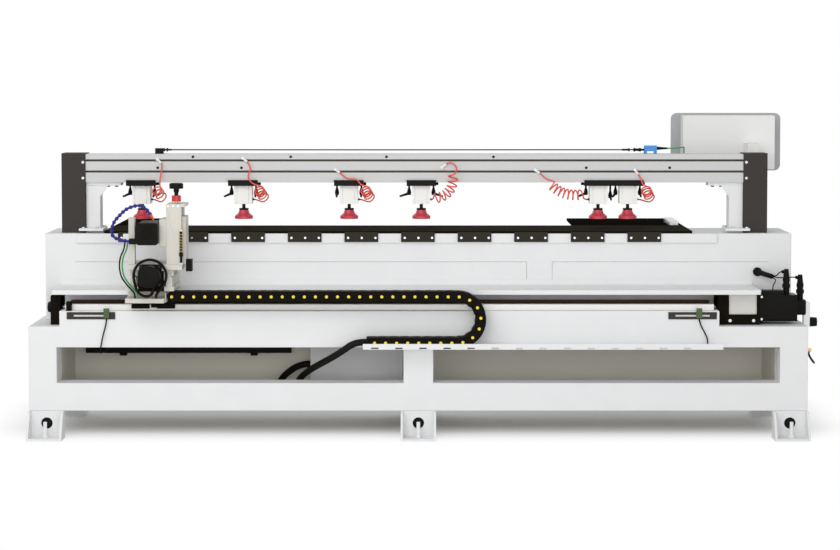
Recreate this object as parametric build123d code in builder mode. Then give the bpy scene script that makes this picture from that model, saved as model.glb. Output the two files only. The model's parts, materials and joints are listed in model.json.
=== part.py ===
from build123d import *
import math
import os

# Side hole drilling machine: a boring head on a long X axis in front of a clamping table.
# Millimetres. X runs along the machine, Y from the drilling head to the table, Z up from the floor.

# Base weldment
base_length = 3400
base_depth = 580
base_bottom = 120
sill_height = 122
window_height = 156
header_height = 92
end_post_width = 122
middle_post_width = 130
tube_depth = 100
deck_thickness = 10
panel_thickness = 3

# Machined seats for the two linear rails
seat_left = -1565
seat_right = 1312
seat_height = 68
seat_width = 85
trough_width = 75

# Feet
foot_width = 154
foot_reach = 86
foot_heel = 10
foot_plate = 10
foot_hole_radius = 25
foot_hole_height = 66
foot_corner = 18
foot_shoulder = 36
stud_radius = 8
stud_length = 78
nut_radius = 14
nut_height = 13
stud_clearance = 0.5

# Electrical box and cable duct inside the base
cabinet_width = 420
cabinet_depth = 126
cabinet_height = 280
cabinet_left = -490
cabinet_lift = 50
cabinet_corner = 4
duct_left = -1521
duct_length = 939
duct_size = 40
duct_height = 314
duct_clip_length = 31
duct_clip_inset = 170
duct_clip_drop = 12

# Table cabinet, clamping table and fence
table_length = 3334
table_front = 248
table_depth = 324
table_height = 387
table_edge = 5
plate_left = -1404
plate_length = 2627
plate_thickness = 12
wing_width = 506
left_wing_width = 250
wing_depth = 463
bracket_depth = 300
bracket_drop = 150
bracket_thickness = 8
bracket_inset = 60
side_stop_width = 40
side_stop_length = 225
side_stop_height = 20
side_stop_setback = 18
side_stop_edge = 20
side_stop_chamfer = 3
fence_rail_left = -1529
fence_rail_length = 2863
fence_rail_height = 42
fence_rail_thickness = 10
fence_count = 10
fence_pitch = 252.5
fence_first = -1340
fence_width = 150
fence_height = 45
fence_thickness = 8
fence_drop = 4
screw_head_radius = 5
screw_head_height = 4
screw_pitch = 61
screw_inset = 16.5
screw_height = 859

# X axis: rails, ball screw, servo and their brackets
rail_width = 28
rail_height = 26
rail_margin = 20
screw_radius = 12.5
screw_axis_height = 562
screw_end_gap = 8
journal_radius = 8.5
running_clearance = 0.1
slide_clearance = 0.3
end_bracket_length = 44
end_bracket_left = -1614
end_bracket_width = 120
end_bracket_height = 128
end_bracket_chamfer = 8
hand_knob_radius = 24
hand_knob_length = 20
hand_knob_chamfer = 4
hand_knob_gap = 0.5
buffer_length = 22
buffer_height = 40
buffer_width = 22
buffer_inset = 30
motor_bracket_length = 185
motor_bracket_width = 128
motor_bracket_base = 45
motor_bracket_height = 136
motor_bracket_wall = 50
motor_bracket_plate = 12
window_plate = 3
window_plate_setback = 8
coupling_radius = 25
coupling_length = 62
servo_size = 120
servo_length = 150
servo_flange = 16
servo_cap_size = 66
servo_cap_length = 42
servo_corner = 10
servo_step = 4
terminal_length = 90
terminal_width = 60
terminal_height = 14
terminal_inset = 22
elbow_radius = 14
elbow_height = 110
elbow_ring = 4
elbow_stub = 24
elbow_stub_radius = 8
power_connector_inset = 40

# Shelf over the X axis
shelf_left = -1598
shelf_length = 3091
shelf_front = 9
shelf_top = 648
shelf_sheet = 3
shelf_lip = 20
shelf_flange = 24

# Drag chain and its tray
chain_pitch = 47.75
chain_height = 46
chain_width = 64
chain_front = -80
chain_bend_radius = 100.5
chain_bend_x = 170
chain_bend_z = 528
chain_fixed_x = -235
chain_moving_x = -1065
chain_plate = 5
chain_tongue = 4
chain_tongue_half_height = 11
chain_bar_length = 14
chain_bar_height = 4
chain_gap = 0.5
chain_pin_radius = 8.5
chain_pin_height = 1.5
tray_left = -240
tray_length = 1558
tray_sheet = 3
tray_lip = 25
tray_notch_width = 31
tray_notch_depth = 9
tray_notch_pitch = 104
tray_gap = 2
chain_anchor = 33

# Limit switch bars on the front of the base
switch_bar_length = 211
switch_bar_height = 31
switch_bar_thickness = 4
switch_bar_z = 522
switch_slot_length = 150
switch_slot_height = 8
left_switch_bar = -1532
right_switch_bar = 1089
sensor_width = 24
sensor_height = 43
sensor_thickness = 9
sensor_lift = 5
left_sensor = -1370
right_sensor = 1211

# Gantry
gantry_middle = -17.5
beam_length = 3085
beam_front = 290
beam_depth = 100
beam_bottom = 1103
beam_height = 127
beam_slot_width = 9
beam_slot_depth = 12
beam_slot_heights = (49, 99)
post_spread = 2885
post_width = 62
post_depth = 76
post_top_plate_length = 156
post_top_plate = 15
post_base_plate_length = 90
post_base_plate = 13
cover_width = 108
cover_sheet = 4
post_bolt_radius = 8
post_bolt_height = 7
post_bolt_inset = 25
gusset_width = 36
gusset_height = 50
gusset_thickness = 8

# Press units that clamp the board
press_x = (-1244, -787, -312, 13, 809.5, 943)
press_bar_width = 132
press_bar_thickness = 15
press_lip_rise = 11
press_lip_thickness = 10
press_body_width = 80
press_body_height = 82
press_groove_width = 6
press_groove_depth = 4
press_groove_offset = 27
press_rod_radius = 7.5
press_rod_guide = 60
press_washer_radius = 21.5
press_washer_height = 7
press_rod_shown = 21
foot_top_radius = 20
foot_bottom_radius = 41
foot_waist_radius = 26
foot_height = 40
foot_rim = 12
thumb_screw_radius = 7
thumb_screw_length = 11
press_port_height = 1024
press_port_radius = 5
press_port_length = 7
port_sides = (1, 1, 1, 1, -1, 1)
lever_offset = 55
lever_stud_radius = 4.5
lever_stud_length = 13
lever_stud_grip = 10
lever_hub_radius = 10
lever_hub_height = 31
lever_arm_length = 46
lever_arm_drop = 12
lever_arm_root = 6.5
lever_arm_tip = 4.5
left_lever_turn = (35, 40, 0, 65, 55, 20)
right_lever_turn = (0, 0, 0, 65, 0, 0)
right_lever_extra = (0, 0, 0, 0, 14, 0)

# Spiral air hoses of the press units
hose_radius = 3.2
hose_plane = 270
coil_radius = 21
gap_step = 3
gap_reach = 63
coil_reference = Vector(0.3, -0.5, 0.8)
fitting_radius = 6.5
fitting_length = 24
fitting_stub = 6
# Each route: fitting X and Z, the way it points, lead points, coil axis beside the unit, whole turns
side_coil = ((74, 256, 1072), (80, 275, 1062), (97, 298, 1030))
hose_routes = (
    (-1169, 1207, 0.7, -0.7, ((-1149, 1150), (-1158, 1108)), side_coil, 3),
    (-786, 1212, 0.75, -0.65, ((-748, 1164), (-766, 1128), (-742, 1096)), side_coil, 4),
    (-372, 1162, 0.8, -0.6, ((-318, 1118), (-276, 1122), (-258, 1092)), side_coil, 4),
    (
        105, 1171, 0.8, 0.6, ((152, 1194), (174, 1168)),
        ((142, 262, 1142), (147, 262, 1044), (62, 272, 1034)), 6,
    ),
    (523, 1160, 0.8, -0.6, ((570, 1120),), ((-216, 266, 1094), (-160, 266, 1036), (-75, 283, 1050)), 7),
    (969, 1160, 0.6, -0.8, ((996, 1118), (1004, 1092)), side_coil, 4),
)

# Pull cord switch on top of the beam, with the rope's height above the beam
cord_height = 18
cord_radius = 3
cord_left = -1147
cord_right = 917
eye_length = 38
eye_width = 14
switch_left = 1016
switch_length = 56
switch_depth = 26
switch_height = 25
switch_foot = 12
knuckle_radius = 9
gland_radius = 8
gland_length = 50

# Control box on its post
box_left = 1229
box_width = 426
box_back = 640
box_depth = 100
box_bottom = 1145
box_height = 250
box_corner = 6
bezel_margin_x = 43
bezel_margin_z = 10
bezel_depth = 25
bezel_corner = 28
screen_width = 250
screen_height = 170
screen_recess = 4
screen_offset = -75
box_post_left = 1510
box_post_size = 50
box_post_back = 515
box_arm_height = 1220
estop_offset_x = 165
estop_offset_z = -70
estop_stem_radius = 10
estop_stem_length = 18
estop_cap_radius = 20
estop_cap_height = 16
estop_travel_gap = 8
estop_spare = 8
estop_cap_taper = 4

# Air regulator at the right end
regulator_gap = 29
regulator_y = 262
regulator_width = 27
regulator_depth = 50
regulator_height = 70
regulator_bottom = 496
regulator_bracket = 6
regulator_valve_height = 40
regulator_valve_depth = 40
regulator_stem_radius = 6
regulator_stem_length = 14
regulator_knob_radius = 22
regulator_knob_length = 33
regulator_knob_taper = 2
regulator_port_radius = 8
regulator_port_length = 26

# Carriage on the X axis
saddle_left = -1262
saddle_length = 209
saddle_thickness = 20
saddle_front = 14
saddle_back = 236
saddle_gap_below_shelf = 4
front_block_length = 167
front_reach = 112
web_thickness = 30
bridge_gap = 7
bridge_thickness = 20
bridge_back = 165
block_width = 60
block_length = 78
block_inset = 10
block_leg = 17
nut_block_width = 61
nut_block_length = 70
nut_block_depth = 64
flag_width = 26
flag_drop = 30
flag_thickness = 4
flag_x = -1163
flag_front = -14
chain_end_plate = 6

# Y feed on the carriage
wall_thickness = 26
wall_height = 40
wall_left = -1240
wall_spread = 180
y_rail_width = 15
y_rail_height = 13
y_block_width = 34
y_block_length = 50
y_block_height = 29
y_block_front = -90
y_block_back = 30
feed_axis_x = -1150
feed_axis_z = 725
feed_screw_radius = 8
feed_screw_end = 120
feed_plate = 12
feed_plate_height = 88
feed_plate_width = 110
y_servo_size = 96
y_servo_flange = 20
y_servo_radius = 46
y_servo_length = 88
y_servo_rim = 4
y_servo_corner = 12
y_servo_socket = 24
y_servo_socket_offset = 14

# Drilling head on the Y slide
cross_plate_left = -1248
cross_plate_length = 232
cross_plate_bottom = 748
cross_plate_thickness = 23
cross_plate_front = -110
cross_plate_back = 100
feed_nut_length = 50
feed_nut_width = 50
feed_nut_drop = 44
feed_nut_front = -20
head_post_width = 26
head_post_depth = 40
head_post_front = -90
head_post_height = 200
column_left = -1084
column_width = 64
column_bar = 40
column_front = -100
column_gap = 60
column_height = 247
top_bracket = 13
side_plate_thickness = 16
side_plate_height = 204
side_plate_inset = 30
stop_rod_radius = 5.5
stop_rod_length = 135
stop_lug = 16
stop_lug_height = 8
stop_nut_radius = 9
stop_nut_height = 16
stop_nut_lift = 27
height_screw_x = -1048
height_screw_y = -30
height_screw_radius = 8
height_screw_low = 785
height_shaft_radius = 5
height_collar_radius = 20
height_collar_height = 26
height_collar_lift = 7
height_neck_radius = 9
height_knob_radius = 30
height_knob_bottom = 1079
height_knob_height = 39
height_knob_edge = 4
height_hub_radius = 12
height_hub_height = 15
valve_width = 26
valve_height = 52
valve_depth = 40
valve_drop = 10
junction_width = 24
junction_depth = 36
junction_height = 28
junction_z = 872

# Drill spindle
spindle_axis_z = 905
spindle_size = 95
spindle_back = -150
spindle_length = 170
spindle_corner = 14
spindle_nose_radius = 30
spindle_nose_length = 20
spindle_recess_radius = 22
spindle_recess = 4
spindle_hub_radius = 9
carrier_black = 12
carrier_cream = 17.7
carrier_height = 115
carrier_bottom = 850
nut_arm_width = 36
nut_arm_height = 24
nut_arm_z = 880
nut_arm_end = -1028
spindle_shaft_radius = 12
spindle_shaft_inset = 15
chuck_radius = 16
chuck_length = 65
chuck_gap = 5
bit_radius = 4
bit_length = 105
bit_point = 6

# Cables
conduit_radius = 15
thin_cable_radius = 3
air_hose_radius = 4
head_cable_radius = 3.5
hose_bead_radius = 8.5
hose_neck_radius = 6.5
hose_bead_count = 18
nozzle_length = 30
nozzle_tip_radius = 3
nozzle_bracket = 30
nozzle_plane = -125
nozzle_bends = (
    (-1277, 876),
    (-1312, 892),
    (-1316, 920),
    (-1307, 955),
    (-1282, 983),
    (-1256, 1009),
    (-1230, 1021),
    (-1200, 1028),
    (-1178, 1021),
    (-1158, 1003),
    (-1150, 990),
)
servo_loop_radius = 70
servo_loop_cable_radius = 6
head_cable_bends = (
    (-1261, -70, 840),
    (-1280, -78, 802),
    (-1283, -94, 762),
    (-1272, -114, 718),
    (-1250, -121, 690),
    (-1228, -121, 664),
    (-1213, -107, 646),
)
servo_gland_x = 1515
servo_gland_z = 706
servo_gland_radius = 20
servo_gland_length = 12
servo_boot_radius = 12
servo_boot_tip = 11
servo_boot_reach = Vector(57, -51, -16)
servo_cable_radius = 2.5
servo_cable_offset = 5
boot_lead = 20
power_lead = 15
inlet_bends = (
    (0, 0, -32),
    (3.5, -6, -68),
    (10.5, -19, -98),
    (17.5, -44, -116),
    (21.5, -75, -124),
    (19.5, -107, -126),
    (9.5, -137, -119),
    (-3.5, -165, -105),
    (-17.5, -188, -87),
    (-25.5, -205, -71),
    (-25.5, -221, -58),
)
nipple_radius = 6.5
nipple_arm = 14
nipple_hex = 9
nipple_hex_length = 5

# Heights and planes that follow from the sizes above
sill_top = base_bottom + sill_height
header_bottom = sill_top + window_height
base_top = header_bottom + header_height
seat_top = base_top + seat_height
rear_seat_front = seat_width + trough_width
base_left = -base_length / 2
base_right = base_length / 2
rear_tube_front = base_depth - tube_depth
table_left = -table_length / 2
table_right = table_length / 2
regulator_x = max(base_right, table_right) + regulator_gap
table_back = table_front + table_depth
table_body_top = base_top + table_height
table_top_z = table_body_top + plate_thickness
fence_rail_front = table_front - fence_rail_thickness
fence_plate_front = fence_rail_front - fence_thickness
screw_axis_y = seat_width + trough_width / 2
rail_centres = (seat_width / 2, rear_seat_front + seat_width / 2)
shelf_under = shelf_top - shelf_sheet
saddle_top = shelf_top - shelf_lip - saddle_gap_below_shelf
saddle_bottom = saddle_top - saddle_thickness
motor_bracket_left = seat_right + slide_clearance
motor_bracket_right = motor_bracket_left + motor_bracket_length
servo_left = motor_bracket_right
beam_top = beam_bottom + beam_height
cord_z = beam_top + cord_height
beam_back = beam_front + beam_depth
beam_middle_y = (beam_front + beam_back) / 2
beam_left = gantry_middle - beam_length / 2
press_bar_bottom = beam_bottom - slide_clearance - press_bar_thickness
press_body_bottom = press_bar_bottom - press_body_height
chain_back = chain_front + chain_width
chain_top_z = chain_bend_z + chain_bend_radius
chain_low_z = chain_bend_z - chain_bend_radius
cross_plate_top = cross_plate_bottom + cross_plate_thickness
column_top = cross_plate_top + column_height
column_right = column_left + column_width
side_plate_right = column_right + side_plate_thickness
bridge_bottom = shelf_top + bridge_gap
bridge_top = bridge_bottom + bridge_thickness
wall_top = bridge_top + wall_height
feed_plate_front = -front_reach
feed_plate_top = bridge_bottom + feed_plate_height
spindle_front = spindle_back + spindle_length

os.makedirs("parts", exist_ok=True)


# Helpers


def block(x_span, y_span, z_span, mode=Mode.ADD):
    """Add a rectangular block that fills three spans to the part being built."""
    spans = (x_span, y_span, z_span)
    with Locations(tuple((low + high) / 2 for low, high in spans)):
        Box(*(high - low for low, high in spans), mode=mode)


def block_solid(x_span, y_span, z_span):
    """One separate rectangular solid."""
    with BuildPart() as piece:
        block(x_span, y_span, z_span)
    return piece.part


def around(middle, width):
    """The span of a width about its middle."""
    return (middle - width / 2, middle + width / 2)


def bar(start, direction, radius, length, mode=Mode.ADD):
    """Add a round bar, or cut a round hole, from a point along a direction."""
    with BuildSketch(Plane(origin=start, z_dir=direction)) as section:
        Circle(radius)
    extrude(section.sketch, amount=length, mode=mode)


def turned(start, direction, profile):
    """Add a turned piece: radii at distances along an axis."""
    axis_dir = Vector(*direction).normalized()
    side_dir = axis_dir.cross(Vector(0.3, 0.2, 1) if abs(axis_dir.Z) < 0.9 else Vector(1, 0.2, 0.3))
    with BuildSketch(Plane(origin=start, x_dir=axis_dir, z_dir=side_dir)) as section:
        with BuildLine():
            Polyline((profile[0][0], 0), *profile, (profile[-1][0], 0), close=True)
        make_face()
    revolve(section.sketch, axis=Axis(start, tuple(axis_dir)))


def faceted(start, direction, profile, sides):
    """Add a piece with flat sides: radii at distances along an axis."""
    way = Vector(*direction).normalized()
    for (near, near_radius), (far, far_radius) in zip(profile, profile[1:]):
        sections = []
        for distance, radius in ((near, near_radius), (far, far_radius)):
            with BuildSketch(Plane(origin=Vector(*start) + way * distance, z_dir=way)) as section:
                RegularPolygon(radius, side_count=sides)
            sections.append(section.sketch)
        if far > near:
            loft(sections, ruled=True)


def write_node(label, *pieces):
    """Write one node that holds the solids of the given pieces."""
    node = Compound([solid for piece in pieces for solid in piece.solids()])
    node.label = label
    export_step(node, f"parts/{label}.step")


def corner_radii(points):
    """Bend radii of a cable's corners, as large as the runs beside them allow."""
    radii = []
    spots = [Vector(point) for point in points]
    for before, corner, after in zip(spots, spots[1:], spots[2:]):
        run_in = corner - before
        run_out = after - corner
        half_turn = math.radians(run_in.get_angle(run_out)) / 2
        radii.append(0.45 * min(run_in.length, run_out.length) / math.tan(half_turn))
    return radii


def cable(name, points, radius):
    """A plain cable or hose along straight runs and tangent arcs."""
    radii = corner_radii(points)
    with BuildPart() as tube:
        with BuildLine() as route:
            FilletPolyline(*points, radius=radii)
        with BuildSketch(Plane(origin=route.line @ 0, z_dir=route.line % 0)):
            Circle(radius)
        sweep(path=route.line)
    print(f"{name}: {route.wire().length:.0f} mm long, least bend radius {min(radii):.0f} mm")
    return tube.part


def draw_biarcs(stations):
    """Draw tangent arcs through points that each have a direction."""
    for (start, start_dir), (end, end_dir) in zip(stations, stations[1:]):
        chord = end - start
        if start_dir.get_angle(end_dir) < 0.01 and start_dir.get_angle(chord) < 0.01:
            Line(start, end)
            continue
        both = start_dir + end_dir
        spread = 2 * (1 - start_dir.dot(end_dir))
        lean = chord.dot(both)
        reach = (math.sqrt(lean * lean + spread * chord.dot(chord)) - lean) / spread
        first = start + start_dir * reach
        second = end - end_dir * reach
        middle = (first + second) * 0.5
        TangentArc(start, middle, tangent=start_dir)
        TangentArc(middle, end, tangent=second - first)


def least_gap(route, radius):
    """The least gap between stretches of a cord that are well apart along it."""
    count = round(route.length / gap_step)
    spots = [tuple(route @ (index / count)) for index in range(count + 1)]
    apart = round(gap_reach / gap_step)
    nearest = min(
        math.dist(spot, other) for index, spot in enumerate(spots) for other in spots[index + apart :]
    )
    return nearest - 2 * radius


def swept_cord(name, stations, radius):
    """A looped or coiled cord swept along tangent arcs."""
    with BuildPart() as cord:
        with BuildLine() as route:
            draw_biarcs(stations)
        with BuildSketch(Plane(origin=route.line @ 0, z_dir=route.line % 0)):
            Circle(radius)
        sweep(path=route.line)
    wire = route.wire()
    print(f"{name}: {wire.length:.0f} mm long, least gap to itself {least_gap(wire, radius):.1f} mm")
    return cord.part


# Base weldment: sills, posts, headers, cross tubes, deck and the two rail seats
left_bay = (base_left + end_post_width, -middle_post_width / 2)
right_bay = (middle_post_width / 2, base_right - end_post_width)
post_spans = ((base_left, left_bay[0]), (left_bay[1], right_bay[0]), (right_bay[1], base_right))
full_span = (base_left, base_right)
sill_span = (base_bottom, sill_top)
cross_header_span = (header_bottom, base_top - deck_thickness)
between_tubes = (tube_depth, rear_tube_front)
frame_members = []
for depth_span in ((0, tube_depth), (rear_tube_front, base_depth)):
    frame_members.append(block_solid(full_span, depth_span, sill_span))
    frame_members.append(block_solid(full_span, depth_span, (header_bottom, base_top)))
    for post_span in post_spans:
        frame_members.append(block_solid(post_span, depth_span, (sill_top, header_bottom)))
for post_span in post_spans:
    frame_members.append(block_solid(post_span, between_tubes, sill_span))
    frame_members.append(block_solid(post_span, between_tubes, cross_header_span))
frame_members.append(block_solid(full_span, between_tubes, (base_top - deck_thickness, base_top)))
for seat_front in (0, rear_seat_front):
    seat_depth_span = (seat_front, seat_front + seat_width)
    frame_members.append(block_solid((seat_left, seat_right), seat_depth_span, (base_top, seat_top)))
write_node("base_frame", *frame_members)

# Welded foot brackets with their levelling studs, three along each side
foot_spacing = (base_length - foot_width) / 2
foot_pieces = []
for side, face_y in ((-1, 0), (1, base_depth)):
    for foot_x in (-foot_spacing, 0, foot_spacing):
        toe_y = face_y + side * foot_reach
        heel_y = face_y - side * foot_heel
        shoulder_y = face_y + side * foot_shoulder
        stud_y = face_y + side * foot_reach / 2
        width_span = around(foot_x, foot_width)
        with BuildPart() as bracket:
            block(width_span, sorted((toe_y, heel_y)), (0, foot_plate))
            block(width_span, sorted((face_y, heel_y)), (foot_plate, base_bottom))
            for cheek_x in (width_span[0], width_span[1] - foot_plate):
                with BuildSketch(Plane.YZ.offset(cheek_x)) as cheek:
                    with BuildLine():
                        Polyline(
                            (face_y, foot_plate),
                            (toe_y, foot_plate),
                            (toe_y, 2 * foot_plate),
                            (shoulder_y, base_bottom),
                            (face_y, base_bottom),
                            close=True,
                        )
                    make_face()
                    fillet(cheek.vertices().sort_by_distance((shoulder_y, base_bottom))[0], foot_corner)
                extrude(amount=foot_plate)
            hole_start = (foot_x, min(face_y, heel_y), foot_hole_height)
            bar(hole_start, (0, 1, 0), foot_hole_radius, foot_heel, Mode.SUBTRACT)
            bar((foot_x, stud_y, 0), (0, 0, 1), stud_radius + stud_clearance, foot_plate, Mode.SUBTRACT)
        with BuildPart() as stud:
            bar((foot_x, stud_y, 0), (0, 0, 1), stud_radius, stud_length)
            with BuildSketch(Plane.XY.offset(foot_plate)):
                with Locations((foot_x, stud_y)):
                    RegularPolygon(nut_radius, side_count=6)
            extrude(amount=nut_height)
        foot_pieces += [bracket.part, stud.part]
write_node("levelling_feet", *foot_pieces)

# Sheet panels, electrical box and cable duct inside the base
panel_back = rear_tube_front - panel_thickness
panel_floor = base_bottom + panel_thickness
panel_height_span = (panel_floor, base_top - deck_thickness)
panel_pieces = []
for bay, end_x in ((left_bay, left_bay[0]), (right_bay, right_bay[1] - panel_thickness)):
    panel_pieces.append(block_solid(bay, between_tubes, (base_bottom, panel_floor)))
    panel_pieces.append(block_solid(bay, (panel_back, rear_tube_front), panel_height_span))
    end_span = (end_x, end_x + panel_thickness)
    panel_pieces.append(block_solid(end_span, (tube_depth, panel_back), panel_height_span))
cabinet_span = (cabinet_left, cabinet_left + cabinet_width)
cabinet_z = panel_floor + cabinet_lift
with BuildPart() as cabinet:
    block(cabinet_span, (panel_back - cabinet_depth, panel_back), (cabinet_z, cabinet_z + cabinet_height))
    fillet(cabinet.edges().filter_by(Axis.Z), cabinet_corner)
panel_pieces.append(cabinet.part)
duct_span = (duct_left, duct_left + duct_length)
duct_depth_span = (panel_back - duct_size, panel_back)
panel_pieces.append(block_solid(duct_span, duct_depth_span, (duct_height, duct_height + duct_size)))
for clip_x in (duct_span[0] + duct_clip_inset, duct_span[1] - duct_clip_inset):
    clip_height_span = (duct_height - duct_clip_drop, duct_height)
    panel_pieces.append(block_solid(around(clip_x, duct_clip_length), duct_depth_span, clip_height_span))
write_node("base_panels", *panel_pieces)

# Table cabinet with the white fence rail along its top front edge
with BuildPart() as cabinet_body:
    block((table_left, table_right), (table_front, table_back), (base_top, table_body_top))
    fillet(cabinet_body.edges().filter_by(Axis.Z), table_edge)
fence_rail_span = (fence_rail_left, fence_rail_left + fence_rail_length)
fence_rail_z = (table_body_top - fence_rail_height, table_body_top)
fence_rail = block_solid(fence_rail_span, (fence_rail_front, table_front), fence_rail_z)
write_node("table_body", cabinet_body.part, fence_rail)

# Clamping table: front strip, two wings to the operator, their brackets and the side stop
plate_right = plate_left + plate_length
plate_z = (table_body_top, table_top_z)
table_pieces = [block_solid((plate_left, plate_right), (table_front, table_back), plate_z)]
wing_spans = ((plate_left, plate_left + left_wing_width), (plate_right - wing_width, plate_right))
for wing_span in wing_spans:
    table_pieces.append(block_solid(wing_span, (table_back, table_back + wing_depth), plate_z))
    for bracket_x in (wing_span[0] + bracket_inset, wing_span[1] - bracket_inset - bracket_thickness):
        with BuildPart() as wing_bracket:
            with BuildSketch(Plane.YZ.offset(bracket_x)):
                with BuildLine():
                    Polyline(
                        (table_back, table_body_top),
                        (table_back + bracket_depth, table_body_top),
                        (table_back, table_body_top - bracket_drop),
                        close=True,
                    )
                make_face()
            extrude(amount=bracket_thickness)
        table_pieces.append(wing_bracket.part)
side_stop_right = plate_right - side_stop_edge
side_stop_span = (side_stop_right - side_stop_width, side_stop_right)
side_stop_y = table_back + side_stop_setback
side_stop_z = (table_top_z, table_top_z + side_stop_height)
with BuildPart() as side_stop:
    block(side_stop_span, (side_stop_y, side_stop_y + side_stop_length), side_stop_z)
    chamfer(side_stop.edges().filter_by(Axis.Y).group_by(Axis.Z)[-1], side_stop_chamfer)
table_pieces.append(side_stop.part)
write_node("table_top", *table_pieces)

# Fence plates along the front of the table, each held by three screws
fence_top = table_top_z - fence_drop
fence_pieces = []
screw_pieces = []
for index in range(fence_count):
    fence_x = fence_first + index * fence_pitch
    fence_span = (fence_x, fence_x + fence_width)
    fence_depth_span = (fence_plate_front, fence_rail_front)
    fence_pieces.append(block_solid(fence_span, fence_depth_span, (fence_top - fence_height, fence_top)))
    for screw in range(3):
        screw_x = fence_x + screw_inset + screw * screw_pitch
        with BuildPart() as screw_head:
            head_profile = ((0, screw_head_radius), (screw_head_height, screw_head_radius))
            faceted((screw_x, fence_plate_front, screw_height), (0, -1, 0), head_profile, 8)
        screw_pieces.append(screw_head.part)
write_node("fence_plates", *fence_pieces)
write_node("fence_screws", *screw_pieces)

# Linear rails of the X axis
rail_span = (seat_left + rail_margin, seat_right - rail_margin)
rail_z = (seat_top, seat_top + rail_height)
rails = [block_solid(rail_span, around(y, rail_width), rail_z) for y in rail_centres]
write_node("x_rails", *rails)

# Screw end bracket, travel buffer and motor bracket
journal_hole = journal_radius + running_clearance
end_bracket_right = end_bracket_left + end_bracket_length
with BuildPart() as end_bracket:
    end_bracket_z = (base_top, base_top + end_bracket_height)
    block((end_bracket_left, end_bracket_right), around(screw_axis_y, end_bracket_width), end_bracket_z)
    chamfer(end_bracket.edges().filter_by(Axis.X).group_by(Axis.Z)[-1], end_bracket_chamfer)
    screw_start = (end_bracket_left, screw_axis_y, screw_axis_height)
    bar(screw_start, (1, 0, 0), journal_hole, end_bracket_length, Mode.SUBTRACT)
buffer_x = seat_left + buffer_inset
buffer_z = (seat_top, seat_top + buffer_height)
buffer = block_solid((buffer_x, buffer_x + buffer_length), (0, buffer_width), buffer_z)
with BuildPart() as motor_bracket:
    bracket_width_span = around(screw_axis_y, motor_bracket_width)
    bracket_top = base_top + motor_bracket_height
    wall_right = motor_bracket_left + motor_bracket_wall
    plate_front_x = motor_bracket_right - motor_bracket_plate
    bracket_foot_z = (base_top, base_top + motor_bracket_base)
    block((motor_bracket_left, motor_bracket_right), bracket_width_span, bracket_foot_z)
    block((motor_bracket_left, wall_right), bracket_width_span, (base_top, bracket_top))
    block((plate_front_x, motor_bracket_right), bracket_width_span, (base_top, bracket_top))
    bore_start = (motor_bracket_left, screw_axis_y, screw_axis_height)
    bar(bore_start, (1, 0, 0), journal_hole, motor_bracket_length, Mode.SUBTRACT)
window_y = bracket_width_span[0] + window_plate_setback
window_z = (base_top + motor_bracket_base, bracket_top)
window_cover = block_solid((wall_right, plate_front_x), (window_y, window_y + window_plate), window_z)
write_node("screw_brackets", end_bracket.part, buffer, motor_bracket.part, window_cover)

# Servo motor of the X axis with its terminal box, rear cap and two ringed connectors
servo_body_left = servo_left + servo_flange
servo_body_right = servo_body_left + servo_length
servo_top = screw_axis_height + servo_size / 2
with BuildPart() as servo:
    with BuildSketch(Plane.YZ.offset(servo_left)):
        with Locations((screw_axis_y, screw_axis_height)):
            Rectangle(servo_size, servo_size)
    extrude(amount=servo_flange)
    with BuildSketch(Plane.YZ.offset(servo_body_left)):
        with Locations((screw_axis_y, screw_axis_height)):
            RectangleRounded(servo_size - servo_step, servo_size - servo_step, servo_corner)
    extrude(amount=servo_length)
    with BuildSketch(Plane.YZ.offset(servo_body_right)):
        with Locations((screw_axis_y, screw_axis_height)):
            RectangleRounded(servo_cap_size, servo_cap_size, servo_corner)
    extrude(amount=servo_cap_length)
    terminal_x = servo_left + terminal_inset
    terminal_z = (servo_top - servo_step, servo_top + terminal_height)
    block((terminal_x, terminal_x + terminal_length), around(screw_axis_y, terminal_width), terminal_z)
connector_profile = (
    (0, elbow_radius),
    (0.25 * elbow_height, elbow_radius),
    (0.25 * elbow_height, elbow_radius + elbow_ring),
    (0.4 * elbow_height, elbow_radius + elbow_ring),
    (0.4 * elbow_height, elbow_radius),
    (0.5 * elbow_height, elbow_radius),
    (0.5 * elbow_height, elbow_radius + elbow_ring / 2),
    (0.65 * elbow_height, elbow_radius + elbow_ring / 2),
    (0.65 * elbow_height, elbow_radius),
    (elbow_height, elbow_radius - elbow_ring),
)
power_foot = Vector(servo_body_right - power_connector_inset, screw_axis_y, servo_top - servo_step / 2)
signal_foot_z = screw_axis_height + servo_cap_size / 2
signal_foot = Vector(servo_body_right + servo_cap_length / 2, screw_axis_y, signal_foot_z)
power_way = Vector(-0.6, 0.8, 0)
signal_way = Vector(-0.6, 0.8, 0)
connectors = []
for foot, way in ((power_foot, power_way), (signal_foot, signal_way)):
    with BuildPart() as connector:
        faceted(foot, (0, 0, 1), connector_profile, 10)
        elbow_start = foot + Vector(0, 0, elbow_height - elbow_radius)
        faceted(elbow_start, way, ((0, elbow_stub_radius), (elbow_stub, elbow_stub_radius)), 8)
    connectors.append(connector.part)
write_node("x_servo_motor", servo.part, *connectors)

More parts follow.
